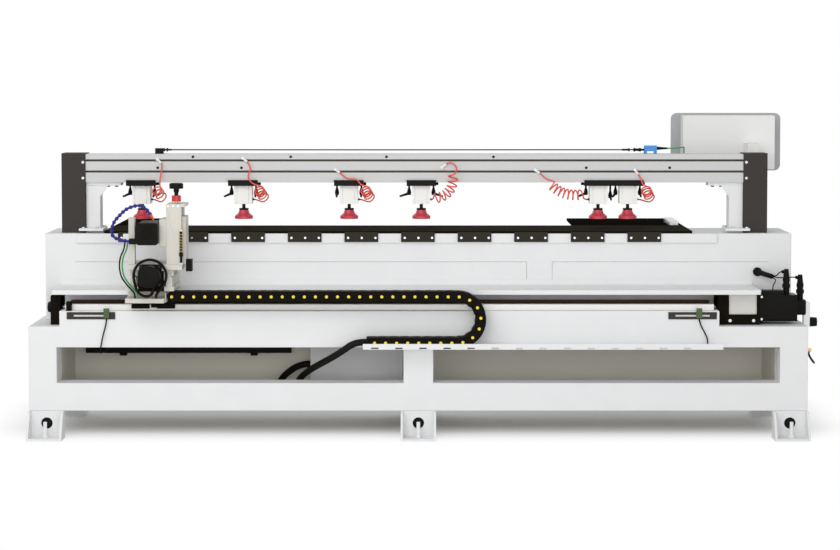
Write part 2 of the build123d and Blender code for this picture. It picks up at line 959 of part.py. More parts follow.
# Ball screw of the X axis with its hand knob and coupling
screw_left = end_bracket_right + screw_end_gap
screw_right = motor_bracket_left - screw_end_gap
coupling_left = (motor_bracket_left + motor_bracket_wall + motor_bracket_right - motor_bracket_plate) / 2
coupling_left -= coupling_length / 2
knob_left = end_bracket_left - hand_knob_length - hand_knob_gap
with BuildPart() as ball_screw:
    turned(
        (knob_left, screw_axis_y, screw_axis_height),
        (1, 0, 0),
        [
            (x - knob_left, radius)
            for x, radius in (
                (knob_left, hand_knob_radius - hand_knob_chamfer),
                (knob_left + hand_knob_chamfer, hand_knob_radius),
                (knob_left + hand_knob_length, hand_knob_radius),
                (knob_left + hand_knob_length, journal_radius),
                (screw_left, journal_radius),
                (screw_left, screw_radius),
                (screw_right, screw_radius),
                (screw_right, journal_radius),
                (coupling_left, journal_radius),
                (coupling_left, coupling_radius),
                (coupling_left + coupling_length, coupling_radius),
                (coupling_left + coupling_length, journal_radius),
                (motor_bracket_right - slide_clearance, journal_radius),
            )
        ],
    )
write_node("x_ball_screw", ball_screw.part)

# Shelf over the X axis: front lip, sheet and rear flange
shelf_span = (shelf_left, shelf_left + shelf_length)
shelf_pieces = [
    block_solid(shelf_span, (shelf_front, table_front), (shelf_under, shelf_top)),
    block_solid(shelf_span, (shelf_front, shelf_front + shelf_sheet), (shelf_top - shelf_lip, shelf_under)),
    block_solid(shelf_span, (table_front - shelf_sheet, table_front), (shelf_top, shelf_top + shelf_flange)),
]
write_node("shelf_cover", *shelf_pieces)

# Drag chain tray with a notched front lip
tray_right = tray_left + tray_length
tray_top = chain_low_z - chain_height / 2 - tray_gap
tray_front = chain_front - tray_gap
tray_bottom = tray_top - tray_sheet
tray = block_solid((tray_left, tray_right), (tray_front, 0), (tray_bottom, tray_top))
with BuildPart() as tray_lip_piece:
    lip_span = (tray_bottom - tray_notch_depth, tray_bottom - tray_notch_depth + tray_lip)
    block((tray_left, tray_right), (tray_front - tray_sheet, tray_front), lip_span)
    for index in range(int(tray_length / tray_notch_pitch)):
        notch_x = tray_left + (index + 0.5) * tray_notch_pitch
        notch_z = (lip_span[0], lip_span[0] + tray_notch_depth)
        notch_y = (tray_front - tray_sheet, tray_front)
        block(around(notch_x, tray_notch_width), notch_y, notch_z, Mode.SUBTRACT)
anchor_span = (chain_fixed_x, chain_fixed_x + chain_anchor)
anchor_y = (chain_front + chain_plate, chain_back - chain_plate)
anchor = block_solid(anchor_span, anchor_y, (tray_top, chain_low_z + chain_height / 4))
write_node("chain_tray", tray, tray_lip_piece.part, anchor)

# One link of the drag chain: rounded outer plates, tongues, two cross bars and pin caps
plate_end = chain_pitch - chain_height / 2 - 2 * chain_gap
tongue_start = chain_tongue_half_height + 2 * chain_gap
tongue_end = chain_pitch + chain_tongue_half_height
with BuildPart() as link:
    for face, outward in ((chain_front, 1), (chain_back, -1)):
        with BuildSketch(Plane(origin=(0, face, 0), x_dir=(1, 0, 0), z_dir=(0, outward, 0))):
            with BuildLine():
                half = chain_height / 2
                diagonal = half * math.sqrt(0.5)
                Polyline(
                    (plate_end, half),
                    (0, half),
                    (-diagonal, diagonal),
                    (-half, 0),
                    (-diagonal, -diagonal),
                    (0, -half),
                    (plate_end, -half),
                    close=True,
                )
            make_face()
        extrude(amount=chain_plate)
        tongue_outer = face + outward * chain_plate
        tongue_root_y = sorted((tongue_outer, tongue_outer + outward * (chain_tongue + chain_gap)))
        tongue_z = (-chain_tongue_half_height, chain_tongue_half_height)
        block((tongue_start, plate_end), tongue_root_y, tongue_z)
        plate_inner = tongue_outer + outward * chain_gap
        with BuildSketch(Plane(origin=(0, plate_inner, 0), x_dir=(1, 0, 0), z_dir=(0, outward, 0))):
            with BuildLine():
                corner = chain_tongue_half_height * math.sqrt(0.5)
                Polyline(
                    (plate_end, chain_tongue_half_height),
                    (chain_pitch, chain_tongue_half_height),
                    (chain_pitch + corner, corner),
                    (tongue_end, 0),
                    (chain_pitch + corner, -corner),
                    (chain_pitch, -chain_tongue_half_height),
                    (plate_end, -chain_tongue_half_height),
                    close=True,
                )
            make_face()
        extrude(amount=chain_tongue)
        with BuildSketch(Plane(origin=(0, face, 0), x_dir=(1, 0, 0), z_dir=(0, -outward, 0))):
            RegularPolygon(chain_pin_radius, side_count=8)
        extrude(amount=chain_pin_height)
    for bar_z in ((half - chain_bar_height, half), (-half, -half + chain_bar_height)):
        block((plate_end - chain_bar_length, plate_end), (chain_front, chain_back), bar_z)


def chain_point(distance):
    """Where the chain's centre line is, this far from its moving end."""
    arc_length = math.pi * chain_bend_radius
    run = chain_bend_x - chain_moving_x
    if distance <= run:
        return Vector(chain_moving_x + distance, 0, chain_top_z)
    if distance <= run + arc_length:
        angle = (distance - run) / chain_bend_radius
        x = chain_bend_x + chain_bend_radius * math.sin(angle)
        return Vector(x, 0, chain_bend_z + chain_bend_radius * math.cos(angle))
    return Vector(chain_bend_x - (distance - run - arc_length), 0, chain_low_z)


upper_length = chain_bend_x - chain_moving_x
bend_length = math.pi * chain_bend_radius
link_count = int((upper_length + bend_length + chain_bend_x - chain_fixed_x) / chain_pitch)
chain_runs = {"chain_upper_run": [], "chain_bend": [], "chain_lower_run": []}
for index in range(link_count):
    start = chain_point(index * chain_pitch)
    direction = chain_point((index + 1) * chain_pitch) - start
    turn = math.degrees(math.atan2(-direction.Z, direction.X))
    middle = (index + 0.5) * chain_pitch
    if middle < upper_length:
        run_name = "chain_upper_run"
    elif middle < upper_length + bend_length:
        run_name = "chain_bend"
    else:
        run_name = "chain_lower_run"
    chain_runs[run_name].append(link.part.moved(Location(tuple(start), (0, turn, 0))))
for run_name, links in chain_runs.items():
    write_node(run_name, *links)
print("drag chain links:", link_count)

# Slotted bars with the two limit sensors on the front of the base
switch_pieces = []
for bar_x, sensor_x in ((left_switch_bar, left_sensor), (right_switch_bar, right_sensor)):
    with BuildPart() as switch_bar:
        bar_span = (bar_x, bar_x + switch_bar_length)
        bar_z = (switch_bar_z, switch_bar_z + switch_bar_height)
        block(bar_span, (-switch_bar_thickness, 0), bar_z)
        slot_x = around((bar_span[0] + bar_span[1]) / 2, switch_slot_length)
        slot_z = around((bar_z[0] + bar_z[1]) / 2, switch_slot_height)
        block(slot_x, (-switch_bar_thickness, 0), slot_z, Mode.SUBTRACT)
    sensor_y = (-switch_bar_thickness - sensor_thickness, -switch_bar_thickness)
    sensor_z = (switch_bar_z + sensor_lift, switch_bar_z + sensor_lift + sensor_height)
    switch_pieces += [switch_bar.part, block_solid((sensor_x, sensor_x + sensor_width), sensor_y, sensor_z)]
write_node("limit_switches", *switch_pieces)

# Gantry beam: an aluminium extrusion with slots in its faces
with BuildPart() as beam:
    with BuildSketch(Plane.YZ.offset(beam_left)):
        with Locations((beam_middle_y, beam_bottom + beam_height / 2)):
            Rectangle(beam_depth, beam_height)
        for slot_lift in beam_slot_heights:
            for slot_y in (beam_front + beam_slot_depth / 2, beam_back - beam_slot_depth / 2):
                with Locations((slot_y, beam_bottom + slot_lift)):
                    Rectangle(beam_slot_depth, beam_slot_width, mode=Mode.SUBTRACT)
        with Locations((beam_middle_y, beam_bottom + beam_slot_depth / 2)):
            Rectangle(beam_slot_width, beam_slot_depth, mode=Mode.SUBTRACT)
    extrude(amount=beam_length)
write_node("gantry_beam", beam.part)

# Gantry posts with base plates, top plates and bolts, and the black end covers
column_pieces = []
for side in (-1, 1):
    post_x = gantry_middle + side * post_spread / 2
    outer_x = post_x + side * post_width / 2
    post_y_span = around(beam_middle_y, post_depth)
    plate_top = table_body_top + post_base_plate
    bearing_z = beam_bottom - post_top_plate
    top_span = sorted((outer_x, outer_x - side * post_top_plate_length))
    column_pieces.append(block_solid(around(post_x, post_width), post_y_span, (plate_top, bearing_z)))
    base_span = around(post_x, post_base_plate_length)
    column_pieces.append(block_solid(base_span, post_y_span, (table_body_top, plate_top)))
    column_pieces.append(block_solid(top_span, post_y_span, (bearing_z, beam_bottom)))
    inner_x = post_x - side * post_width / 2
    with BuildPart() as gusset:
        with BuildSketch(Plane(origin=(0, post_y_span[0], 0), x_dir=(1, 0, 0), z_dir=(0, -1, 0))):
            with BuildLine():
                Polyline(
                    (inner_x, bearing_z),
                    (inner_x - side * gusset_width, bearing_z),
                    (inner_x, bearing_z - gusset_height),
                    close=True,
                )
            make_face()
        extrude(amount=-gusset_thickness)
    column_pieces.append(gusset.part)
    for bolt_inset in (post_bolt_inset, 2.5 * post_bolt_inset):
        bolt_x = outer_x - side * (post_top_plate_length - bolt_inset)
        with BuildPart() as post_bolt:
            bar((bolt_x, beam_middle_y, bearing_z), (0, 0, -1), post_bolt_radius, post_bolt_height)
        column_pieces.append(post_bolt.part)
    far_x = outer_x + side * cover_width
    cover_span = sorted((outer_x, far_x))
    cover_top = beam_top + cover_sheet
    with BuildPart() as cover:
        block(cover_span, (beam_front - cover_sheet, beam_front), (table_body_top, cover_top))
        block(cover_span, (beam_back, beam_back + cover_sheet), (table_body_top, cover_top))
        block(cover_span, (beam_front - cover_sheet, beam_back + cover_sheet), (beam_top, cover_top))
        wall_span = sorted((far_x, far_x - side * cover_sheet))
        block(wall_span, (beam_front - cover_sheet, beam_back + cover_sheet), (table_body_top, cover_top))
    column_pieces.append(cover.part)
write_node("gantry_columns", *column_pieces)

# Pull cord switch on the beam: eye, rope, knuckle, switch on two feet, gland and wire
switch_base = beam_top + switch_foot
switch_right = switch_left + switch_length
eye_span = (cord_left - eye_length, cord_left)
cord_pieces = [block_solid(eye_span, around(beam_middle_y, eye_width), (beam_top, cord_z + eye_width / 2))]
with BuildPart() as rope:
    bar((cord_left, beam_middle_y, cord_z), (1, 0, 0), cord_radius, cord_right - cord_left)
knuckle_length = switch_left - cord_right
knuckle_profile = (
    (0, cord_radius),
    (0.25 * knuckle_length, knuckle_radius),
    (0.75 * knuckle_length, knuckle_radius),
    (knuckle_length, cord_radius),
)
with BuildPart() as knuckle:
    faceted((cord_right, beam_middle_y, cord_z), (1, 0, 0), knuckle_profile, 8)
cord_pieces += [rope.part, knuckle.part]
switch_z = (switch_base, switch_base + switch_height)
cord_pieces.append(block_solid((switch_left, switch_right), around(beam_middle_y, switch_depth), switch_z))
for foot_x in (switch_left, switch_right - switch_foot):
    switch_foot_span = (foot_x, foot_x + switch_foot)
    switch_foot_z = (beam_top, switch_base)
    cord_pieces.append(block_solid(switch_foot_span, around(beam_middle_y, switch_depth), switch_foot_z))
gland_z = switch_base + switch_height / 2
with BuildPart() as gland:
    gland_profile = ((0, gland_radius), (gland_length, thin_cable_radius + 1))
    faceted((switch_right, beam_middle_y, gland_z), (1, 0, 0), gland_profile, 8)
wire_start = switch_right + gland_length
back_slot_z = beam_bottom + beam_slot_heights[1]
wire_points = (
    (wire_start, beam_middle_y, gland_z),
    (wire_start + 38, beam_middle_y, gland_z),
    (wire_start + 78, beam_middle_y + 22, gland_z + 4),
    (wire_start + 84, beam_back + 35, gland_z + 2),
    (wire_start + 84, beam_back + 35, back_slot_z),
    (wire_start + 84, beam_back - beam_slot_depth, back_slot_z),
)
cord_pieces += [gland.part, cable("pull cord switch wire", wire_points, thin_cable_radius)]
write_node("pull_cord_switch", *cord_pieces)

# Control box on its post, with a bezel and screen that face the operator
box_right = box_left + box_width
box_front = box_back + box_depth
box_middle_x = (box_left + box_right) / 2
box_middle_z = box_bottom + box_height / 2
bezel_front = box_front + bezel_depth
estop_x = box_middle_x + estop_offset_x
estop_z = box_middle_z + estop_offset_z
screen_x_span = around(box_middle_x + screen_offset, screen_width)
screen_z_span = around(box_middle_z, screen_height)
with BuildPart() as box_shell:
    block((box_left, box_right), (box_back, box_front), (box_bottom, box_bottom + box_height))
    fillet(box_shell.edges().filter_by(Axis.Y), box_corner)
with BuildPart() as bezel:
    with BuildSketch(Plane(origin=(0, box_front, 0), x_dir=(1, 0, 0), z_dir=(0, -1, 0))):
        with Locations((box_middle_x, box_middle_z)):
            RectangleRounded(box_width + 2 * bezel_margin_x, box_height + 2 * bezel_margin_z, bezel_corner)
    extrude(amount=-bezel_depth)
    block(screen_x_span, (bezel_front - screen_recess, bezel_front), screen_z_span, Mode.SUBTRACT)
    estop_hole = estop_stem_radius + running_clearance
    estop_depth = estop_stem_length + estop_spare
    bar((estop_x, bezel_front, estop_z), (0, -1, 0), estop_hole, estop_depth, Mode.SUBTRACT)
screen_y_span = (bezel_front - screen_recess, bezel_front - screen_recess / 4)
screen = block_solid(screen_x_span, screen_y_span, screen_z_span)
post_x_span = (box_post_left, box_post_left + box_post_size)
post_y_span = (box_post_back, box_post_back + box_post_size)
arm_top = box_arm_height + box_post_size
box_post = block_solid(post_x_span, post_y_span, (table_body_top, arm_top))
box_arm = block_solid(post_x_span, (post_y_span[1], box_back), (box_arm_height, arm_top))
write_node("control_box", box_shell.part, bezel.part, screen, box_post, box_arm)

# Emergency stop button of the control box
with BuildPart() as estop:
    stem_reach = estop_stem_length + estop_travel_gap
    turned(
        (estop_x, bezel_front - estop_stem_length, estop_z),
        (0, 1, 0),
        (
            (0, estop_stem_radius),
            (stem_reach, estop_stem_radius),
            (stem_reach, estop_cap_radius),
            (stem_reach + estop_cap_height, estop_cap_radius - estop_cap_taper),
        ),
    )
write_node("estop_button", estop.part)

# Air regulator on a bracket at the right end of the table, with its knob
regulator_right = regulator_x + regulator_width
regulator_top = regulator_bottom + regulator_height
regulator_middle_x = regulator_x + regulator_width / 2
regulator_middle_y = regulator_y + regulator_depth / 2
valve_bottom = regulator_bottom - regulator_valve_height
regulator_knob_z = valve_bottom + regulator_valve_height / 2
regulator_y_span = (regulator_y, regulator_y + regulator_depth)
valve_y_span = around(regulator_middle_y, regulator_valve_depth)
bracket_z_span = (regulator_top - 2 * regulator_bracket, regulator_top - regulator_bracket)
regulator_pieces = [
    block_solid(
        (table_right, regulator_x), around(regulator_middle_y, regulator_valve_depth), bracket_z_span
    ),
    block_solid((regulator_x, regulator_right), regulator_y_span, (regulator_bottom, regulator_top)),
]
with BuildPart() as valve_body:
    block((regulator_x, regulator_right), valve_y_span, (valve_bottom, regulator_bottom))
    stem_start = (regulator_right, regulator_middle_y, regulator_knob_z)
    stem_hole = regulator_stem_radius + running_clearance
    bar(stem_start, (-1, 0, 0), stem_hole, regulator_stem_length + slide_clearance, Mode.SUBTRACT)
with BuildPart() as inlet:
    inlet_start = (regulator_middle_x, regulator_middle_y, valve_bottom)
    inlet_profile = ((0, regulator_port_radius), (regulator_port_length, regulator_port_radius - 2))
    faceted(inlet_start, (0, 0, -1), inlet_profile, 8)
regulator_pieces += [valve_body.part, inlet.part]
write_node("air_regulator", *regulator_pieces)
with BuildPart() as knob:
    knob_start = (regulator_right - regulator_stem_length, regulator_middle_y, regulator_knob_z)
    knob_face = regulator_stem_length + slide_clearance
    turned(
        knob_start,
        (1, 0, 0),
        (
            (0, regulator_stem_radius),
            (knob_face, regulator_stem_radius),
            (knob_face, regulator_knob_radius),
            (knob_face + regulator_knob_length, regulator_knob_radius - regulator_knob_taper),
        ),
    )
    for angle in range(0, 360, 60):
        groove_y = regulator_middle_y + regulator_knob_radius * math.cos(math.radians(angle))
        groove_z = regulator_knob_z + regulator_knob_radius * math.sin(math.radians(angle))
        groove_x = (regulator_right + slide_clearance + 4, regulator_right + regulator_knob_length + 1)
        block(groove_x, around(groove_y, 5), around(groove_z, 5), Mode.SUBTRACT)
write_node("regulator_knob", knob.part)

# Carriage of the X axis: saddle, front block, web, bridge, side walls, Y rails and feed plate
saddle_right = saddle_left + saddle_length
saddle_span = (saddle_left, saddle_right)
front_block_right = saddle_left + front_block_length
front_block_span = (saddle_left, front_block_right)
bridge_front = feed_plate_front + feed_plate
wall_right_edge = wall_left + wall_spread
walls = ((wall_left, wall_left + wall_thickness), (wall_right_edge - wall_thickness, wall_right_edge))
y_rail_centres = tuple((low + high) / 2 for low, high in walls)
saddle_z = (saddle_bottom, saddle_top)
carriage_pieces = [
    block_solid(saddle_span, (saddle_front, saddle_back), saddle_z),
    block_solid(front_block_span, (feed_plate_front, saddle_front), saddle_z),
    block_solid(front_block_span, (-web_thickness, 0), (saddle_top, bridge_bottom)),
    block_solid(saddle_span, (bridge_front, bridge_back), (bridge_bottom, bridge_top)),
]
for wall in walls:
    carriage_pieces.append(block_solid(wall, (bridge_front, bridge_back), (bridge_top, wall_top)))
for rail_x in y_rail_centres:
    y_rail_z = (wall_top, wall_top + y_rail_height)
    carriage_pieces.append(block_solid(around(rail_x, y_rail_width), (bridge_front, bridge_back), y_rail_z))
with BuildPart() as feed_bearing:
    feed_plate_z = (bridge_bottom, feed_plate_top)
    block(around(feed_axis_x, feed_plate_width), (feed_plate_front, bridge_front), feed_plate_z)
    feed_start = (feed_axis_x, feed_plate_front, feed_axis_z)
    bar(feed_start, (0, 1, 0), feed_screw_radius + running_clearance, feed_plate, Mode.SUBTRACT)
carriage_pieces.append(feed_bearing.part)
rail_top = seat_top + rail_height
leg_inner = rail_width / 2 + slide_clearance
for rail_y in rail_centres:
    for block_x in (saddle_left + block_inset, saddle_right - block_inset - block_length):
        block_span = (block_x, block_x + block_length)
        cap_z = (rail_top + slide_clearance, saddle_bottom)
        leg_z = (rail_top - block_leg, rail_top + slide_clearance)
        carriage_pieces.append(block_solid(block_span, around(rail_y, block_width), cap_z))
        carriage_pieces.append(block_solid(block_span, (rail_y - block_width / 2, rail_y - leg_inner), leg_z))
        carriage_pieces.append(block_solid(block_span, (rail_y + leg_inner, rail_y + block_width / 2), leg_z))
with BuildPart() as screw_nut:
    nut_span = around((saddle_left + saddle_right) / 2, nut_block_length)
    block(nut_span, around(screw_axis_y, nut_block_width), (saddle_bottom - nut_block_depth, saddle_bottom))
    nut_start = (nut_span[0], screw_axis_y, screw_axis_height)
    bar(nut_start, (1, 0, 0), screw_radius + running_clearance, nut_block_length, Mode.SUBTRACT)
carriage_pieces.append(screw_nut.part)
flag_y = (flag_front, flag_front + flag_thickness)
flag_z = (saddle_bottom - flag_drop, saddle_bottom)
carriage_pieces.append(block_solid((flag_x, flag_x + flag_width), flag_y, flag_z))
chain_end_span = (front_block_right, front_block_right + chain_end_plate)
chain_end_y = (chain_front + chain_plate, chain_back - chain_plate)
chain_end_z = (saddle_bottom, chain_top_z + chain_height / 2 - chain_plate)
carriage_pieces.append(block_solid(chain_end_span, chain_end_y, chain_end_z))
write_node("carriage", *carriage_pieces)

# Servo motor and screw of the Y feed
with BuildPart() as y_servo:
    with BuildSketch(Plane(origin=(0, feed_plate_front, 0), x_dir=(1, 0, 0), z_dir=(0, -1, 0))):
        with Locations((feed_axis_x, feed_axis_z)):
            RectangleRounded(y_servo_size, y_servo_size, y_servo_corner)
    extrude(amount=y_servo_flange)
    barrel_profile = (
        (y_servo_flange, y_servo_radius),
        (y_servo_length - y_servo_rim, y_servo_radius),
        (y_servo_length, y_servo_radius - y_servo_rim),
    )
    turned((feed_axis_x, feed_plate_front, feed_axis_z), (0, -1, 0), barrel_profile)
    loop_y = feed_plate_front - y_servo_flange - 2 * servo_loop_cable_radius
    socket_x = feed_axis_x + y_servo_socket_offset
    socket_bottom = feed_axis_z - y_servo_size / 2
    socket_z = (socket_bottom, feed_axis_z - y_servo_radius / 2)
    block(around(socket_x, y_servo_socket), around(loop_y, y_servo_socket), socket_z)
write_node("y_servo_motor", y_servo.part)
with BuildPart() as feed_screw:
    feed_screw_start = feed_plate_front + slide_clearance
    feed_screw_length = feed_screw_end - feed_screw_start
    bar((feed_axis_x, feed_screw_start, feed_axis_z), (0, 1, 0), feed_screw_radius, feed_screw_length)
write_node("y_feed_screw", feed_screw.part)

# Y slide: cross plate, guide blocks, feed nut, post, guide column, top bracket, side plate and valve
cross_plate_span = (cross_plate_left, cross_plate_left + cross_plate_length)
cross_y_span = (cross_plate_front, cross_plate_back)
slide_pieces = [block_solid(cross_plate_span, cross_y_span, (cross_plate_bottom, cross_plate_top))]
y_rail_top = wall_top + y_rail_height
for rail_x in y_rail_centres:
    for block_y in (y_block_front, y_block_back):
        with BuildPart() as y_block:
            y_block_span = (block_y, block_y + y_block_length)
            y_block_bottom = cross_plate_bottom - y_block_height
            block(around(rail_x, y_block_width), y_block_span, (y_block_bottom, cross_plate_bottom))
            channel_z = (y_block_bottom, y_rail_top + slide_clearance)
            channel_x = around(rail_x, y_rail_width + 2 * slide_clearance)
            block(channel_x, y_block_span, channel_z, Mode.SUBTRACT)
        slide_pieces.append(y_block.part)
with BuildPart() as feed_nut:
    feed_nut_y = (feed_nut_front, feed_nut_front + feed_nut_length)
    feed_nut_z = (cross_plate_bottom - feed_nut_drop, cross_plate_bottom)
    block(around(feed_axis_x, feed_nut_width), feed_nut_y, feed_nut_z)
    feed_nut_start = (feed_axis_x, feed_nut_front, feed_axis_z)
    bar(feed_nut_start, (0, 1, 0), feed_screw_radius + running_clearance, feed_nut_length, Mode.SUBTRACT)
slide_pieces.append(feed_nut.part)
post_span = (cross_plate_left, cross_plate_left + head_post_width)
post_depth_span = (head_post_front, head_post_front + head_post_depth)
head_post_z = (cross_plate_top, cross_plate_top + head_post_height)
slide_pieces.append(block_solid(post_span, post_depth_span, head_post_z))
column_span = (column_left, column_left + column_width)
column_back = column_front + 2 * column_bar + column_gap
for bar_front in (column_front, column_back - column_bar):
    column_y = (bar_front, bar_front + column_bar)
    slide_pieces.append(block_solid(column_span, column_y, (cross_plate_top, column_top)))
with BuildPart() as top_plate:
    top_plate_z = (column_top, column_top + top_bracket)
    block((column_left, side_plate_right), (column_front, column_back), top_plate_z)
    shaft_start = (height_screw_x, height_screw_y, column_top)
    bar(shaft_start, (0, 0, 1), height_shaft_radius + running_clearance, top_bracket, Mode.SUBTRACT)
slide_pieces.append(top_plate.part)
side_plate_z = (cross_plate_top, cross_plate_top + side_plate_height)
side_plate_y = (column_front + side_plate_inset, column_back)
slide_pieces.append(block_solid((column_right, side_plate_right), side_plate_y, side_plate_z))
lug_y = (column_front - stop_lug, column_front)
rod_foot = (column_right, column_front - stop_lug / 2, cross_plate_top + stop_lug_height)
rod_end = rod_foot[2] + stop_rod_length
for lug_z in (cross_plate_top, rod_end):
    slide_pieces.append(block_solid(around(column_right, stop_lug), lug_y, (lug_z, lug_z + stop_lug_height)))
with BuildPart() as stop_rod:
    bar(rod_foot, (0, 0, 1), stop_rod_radius, stop_rod_length)
    nut_profile = ((stop_nut_lift, stop_nut_radius), (stop_nut_lift + stop_nut_height, stop_nut_radius))
    faceted(rod_foot, (0, 0, 1), nut_profile, 6)
slide_pieces.append(stop_rod.part)
valve_z = (cross_plate_bottom - valve_drop, cross_plate_bottom - valve_drop + valve_height)
valve_span = (side_plate_right, side_plate_right + valve_width)
valve_y = (side_plate_y[0], side_plate_y[0] + valve_depth)
slide_pieces.append(block_solid(valve_span, valve_y, valve_z))
junction_y = head_post_front + head_post_depth / 2
junction_span = (cross_plate_left - junction_width, cross_plate_left)
junction_z_span = (junction_z, junction_z + junction_height)
slide_pieces.append(block_solid(junction_span, around(junction_y, junction_depth), junction_z_span))
write_node("y_slide", *slide_pieces)

# Height screw with its collar and hand knob
collar_z = column_top + top_bracket + height_collar_lift
height_screw_top = column_top - screw_end_gap
height_hub_top = height_knob_bottom + height_hub_height
height_knob_top = height_knob_bottom + height_knob_height
height_profile = (
    (height_screw_low, height_screw_radius),
    (height_screw_top, height_screw_radius),
    (height_screw_top, height_shaft_radius),
    (collar_z, height_shaft_radius),
    (collar_z, height_collar_radius),
    (collar_z + height_collar_height, height_collar_radius),
    (collar_z + height_collar_height, height_neck_radius),
    (height_knob_bottom, height_neck_radius),
    (height_knob_bottom, height_hub_radius),
    (height_hub_top, height_hub_radius),
    (height_hub_top, height_knob_radius),
    (height_knob_top - height_knob_edge, height_knob_radius),
    (height_knob_top, height_knob_radius - height_knob_edge),
)
with BuildPart() as height_screw:
    turned((height_screw_x, height_screw_y, 0), (0, 0, 1), height_profile)
write_node("height_screw", height_screw.part)

# Spindle carrier: black motor plate, cream guide plate and the nut arm on the height screw
guide_right = column_left - slide_clearance
guide_left = guide_right - carrier_cream
black_left = guide_left - carrier_black
carrier_y = (column_front, column_back)
carrier_z = (carrier_bottom, carrier_bottom + carrier_height)
black_plate = block_solid((black_left, guide_left), carrier_y, carrier_z)
guide_plate = block_solid((guide_left, guide_right), carrier_y, carrier_z)
with BuildPart() as nut_arm:
    nut_arm_span = (guide_right, nut_arm_end)
    block(nut_arm_span, around(height_screw_y, nut_arm_width), (nut_arm_z, nut_arm_z + nut_arm_height))
    nut_start = (height_screw_x, height_screw_y, nut_arm_z)
    bar(nut_start, (0, 0, 1), height_screw_radius + running_clearance, nut_arm_height, Mode.SUBTRACT)
write_node("spindle_carrier", black_plate, guide_plate, nut_arm.part)

# Drill motor: square body with a round nose
spindle_axis_x = black_left - spindle_size / 2
nose_front = spindle_front + spindle_nose_length
with BuildPart() as motor:
    with BuildSketch(Plane(origin=(0, spindle_back, 0), x_dir=(1, 0, 0), z_dir=(0, -1, 0))):
        with Locations((spindle_axis_x, spindle_axis_z)):
            RectangleRounded(spindle_size, spindle_size, spindle_corner)
    extrude(amount=-spindle_length)
    bar((spindle_axis_x, spindle_front, spindle_axis_z), (0, 1, 0), spindle_nose_radius, spindle_nose_length)
    recess_start = (spindle_axis_x, spindle_back, spindle_axis_z)
    bar(recess_start, (0, 1, 0), spindle_recess_radius, spindle_recess, Mode.SUBTRACT)
    bar(recess_start, (0, 1, 0), spindle_hub_radius, spindle_recess)
    bore_start = (spindle_axis_x, nose_front, spindle_axis_z)
    shaft_hole = spindle_shaft_radius + running_clearance
    bar(bore_start, (0, -1, 0), shaft_hole, spindle_shaft_inset + slide_clearance, Mode.SUBTRACT)
write_node("spindle_motor", motor.part)

# Spindle shaft, chuck and drill bit
shaft_back = nose_front - spindle_shaft_inset
chuck_back = spindle_shaft_inset + chuck_gap
chuck_front = chuck_back + chuck_length
with BuildPart() as drill:
    turned(
        (spindle_axis_x, shaft_back, spindle_axis_z),
        (0, 1, 0),
        (
            (0, spindle_shaft_radius),
            (chuck_back, spindle_shaft_radius),
            (chuck_back, chuck_radius),
            (0.7 * chuck_length + chuck_back, chuck_radius),
            (chuck_front, chuck_radius / 2),
            (chuck_front, bit_radius),
            (chuck_front + bit_length - bit_point, bit_radius),
            (chuck_front + bit_length, bit_radius / 8),
        ),
    )
write_node("drill_bit", drill.part)

# Segmented air nozzle hose on a bracket at the motor's side
motor_left = spindle_axis_x - spindle_size / 2
bracket_left = motor_left - nozzle_bracket
nozzle_base_z = spindle_axis_z - spindle_size / 2 + nozzle_bracket / 2
nozzle_bracket_z = around(nozzle_base_z, 0.8 * nozzle_bracket)
nozzle_bracket_y = around(nozzle_plane, nozzle_bracket)
bracket_block = block_solid((bracket_left, motor_left), nozzle_bracket_y, nozzle_bracket_z)
(x_before, z_before), (x_last, z_last) = nozzle_bends[-2:]
nozzle_exit = (x_last - x_before, 0, z_last - z_before)
nozzle_route = Spline(
    (bracket_left, nozzle_plane, nozzle_base_z),
    *((x, nozzle_plane, z) for x, z in nozzle_bends),
    tangents=((-1, 0, 0), nozzle_exit),
)
with BuildPart() as bead_hose:
    for index in range(2 * hose_bead_count + 1):
        station = index / (2 * hose_bead_count)
        section = Plane(origin=nozzle_route @ station, x_dir=(0, 1, 0), z_dir=nozzle_route % station)
        with BuildSketch(section):
            RegularPolygon(hose_neck_radius if index % 2 == 0 else hose_bead_radius, side_count=8)
    loft(ruled=True)
with BuildPart() as nozzle:
    nozzle_profile = ((0, hose_bead_radius), (nozzle_length, nozzle_tip_radius))
    faceted(nozzle_route @ 1, nozzle_route % 1, nozzle_profile, 8)
write_node("nozzle_hose", bracket_block, bead_hose.part, nozzle.part)
print(f"nozzle hose: {nozzle_route.length:.0f} mm long")

# Cables from the drilling head to the chain, and the loop of the Y servo's cable
junction_middle = cross_plate_left - junction_width / 2
head_pieces = []
for cable_x in (-junction_width / 4, junction_width / 4):
    head_route = [(junction_middle + cable_x, junction_y, junction_z - slide_clearance)]
    head_route += [(x + cable_x, y, z) for x, y, z in head_cable_bends]
    head_route.append((head_cable_bends[-1][0] + cable_x, head_cable_bends[-1][1], saddle_top))
    head_pieces.append(cable(f"head cable {len(head_pieces) + 1}", head_route, head_cable_radius))
loop_stations = [(Vector(socket_x, loop_y, socket_bottom), Vector(0, 0, -1))]
for angle in range(225, -46, -90):
    turn = math.radians(angle)
    spoke = Vector(math.cos(turn), 0, math.sin(turn)) * servo_loop_radius
    spot = spoke + Vector(feed_axis_x, loop_y, feed_axis_z)
    loop_stations.append((spot, Vector(math.sin(turn), 0, -math.cos(turn))))
loop_stations.append((Vector(feed_axis_x + 22, feed_plate_front + 8, saddle_top + 4), Vector(0, 0, -1)))
loop_stations.append((Vector(feed_axis_x + 22, feed_plate_front + 8, saddle_top), Vector(0, 0, -1)))
head_pieces.append(swept_cord("Y servo cable", loop_stations, servo_loop_cable_radius))
write_node("head_cables", *head_pieces)

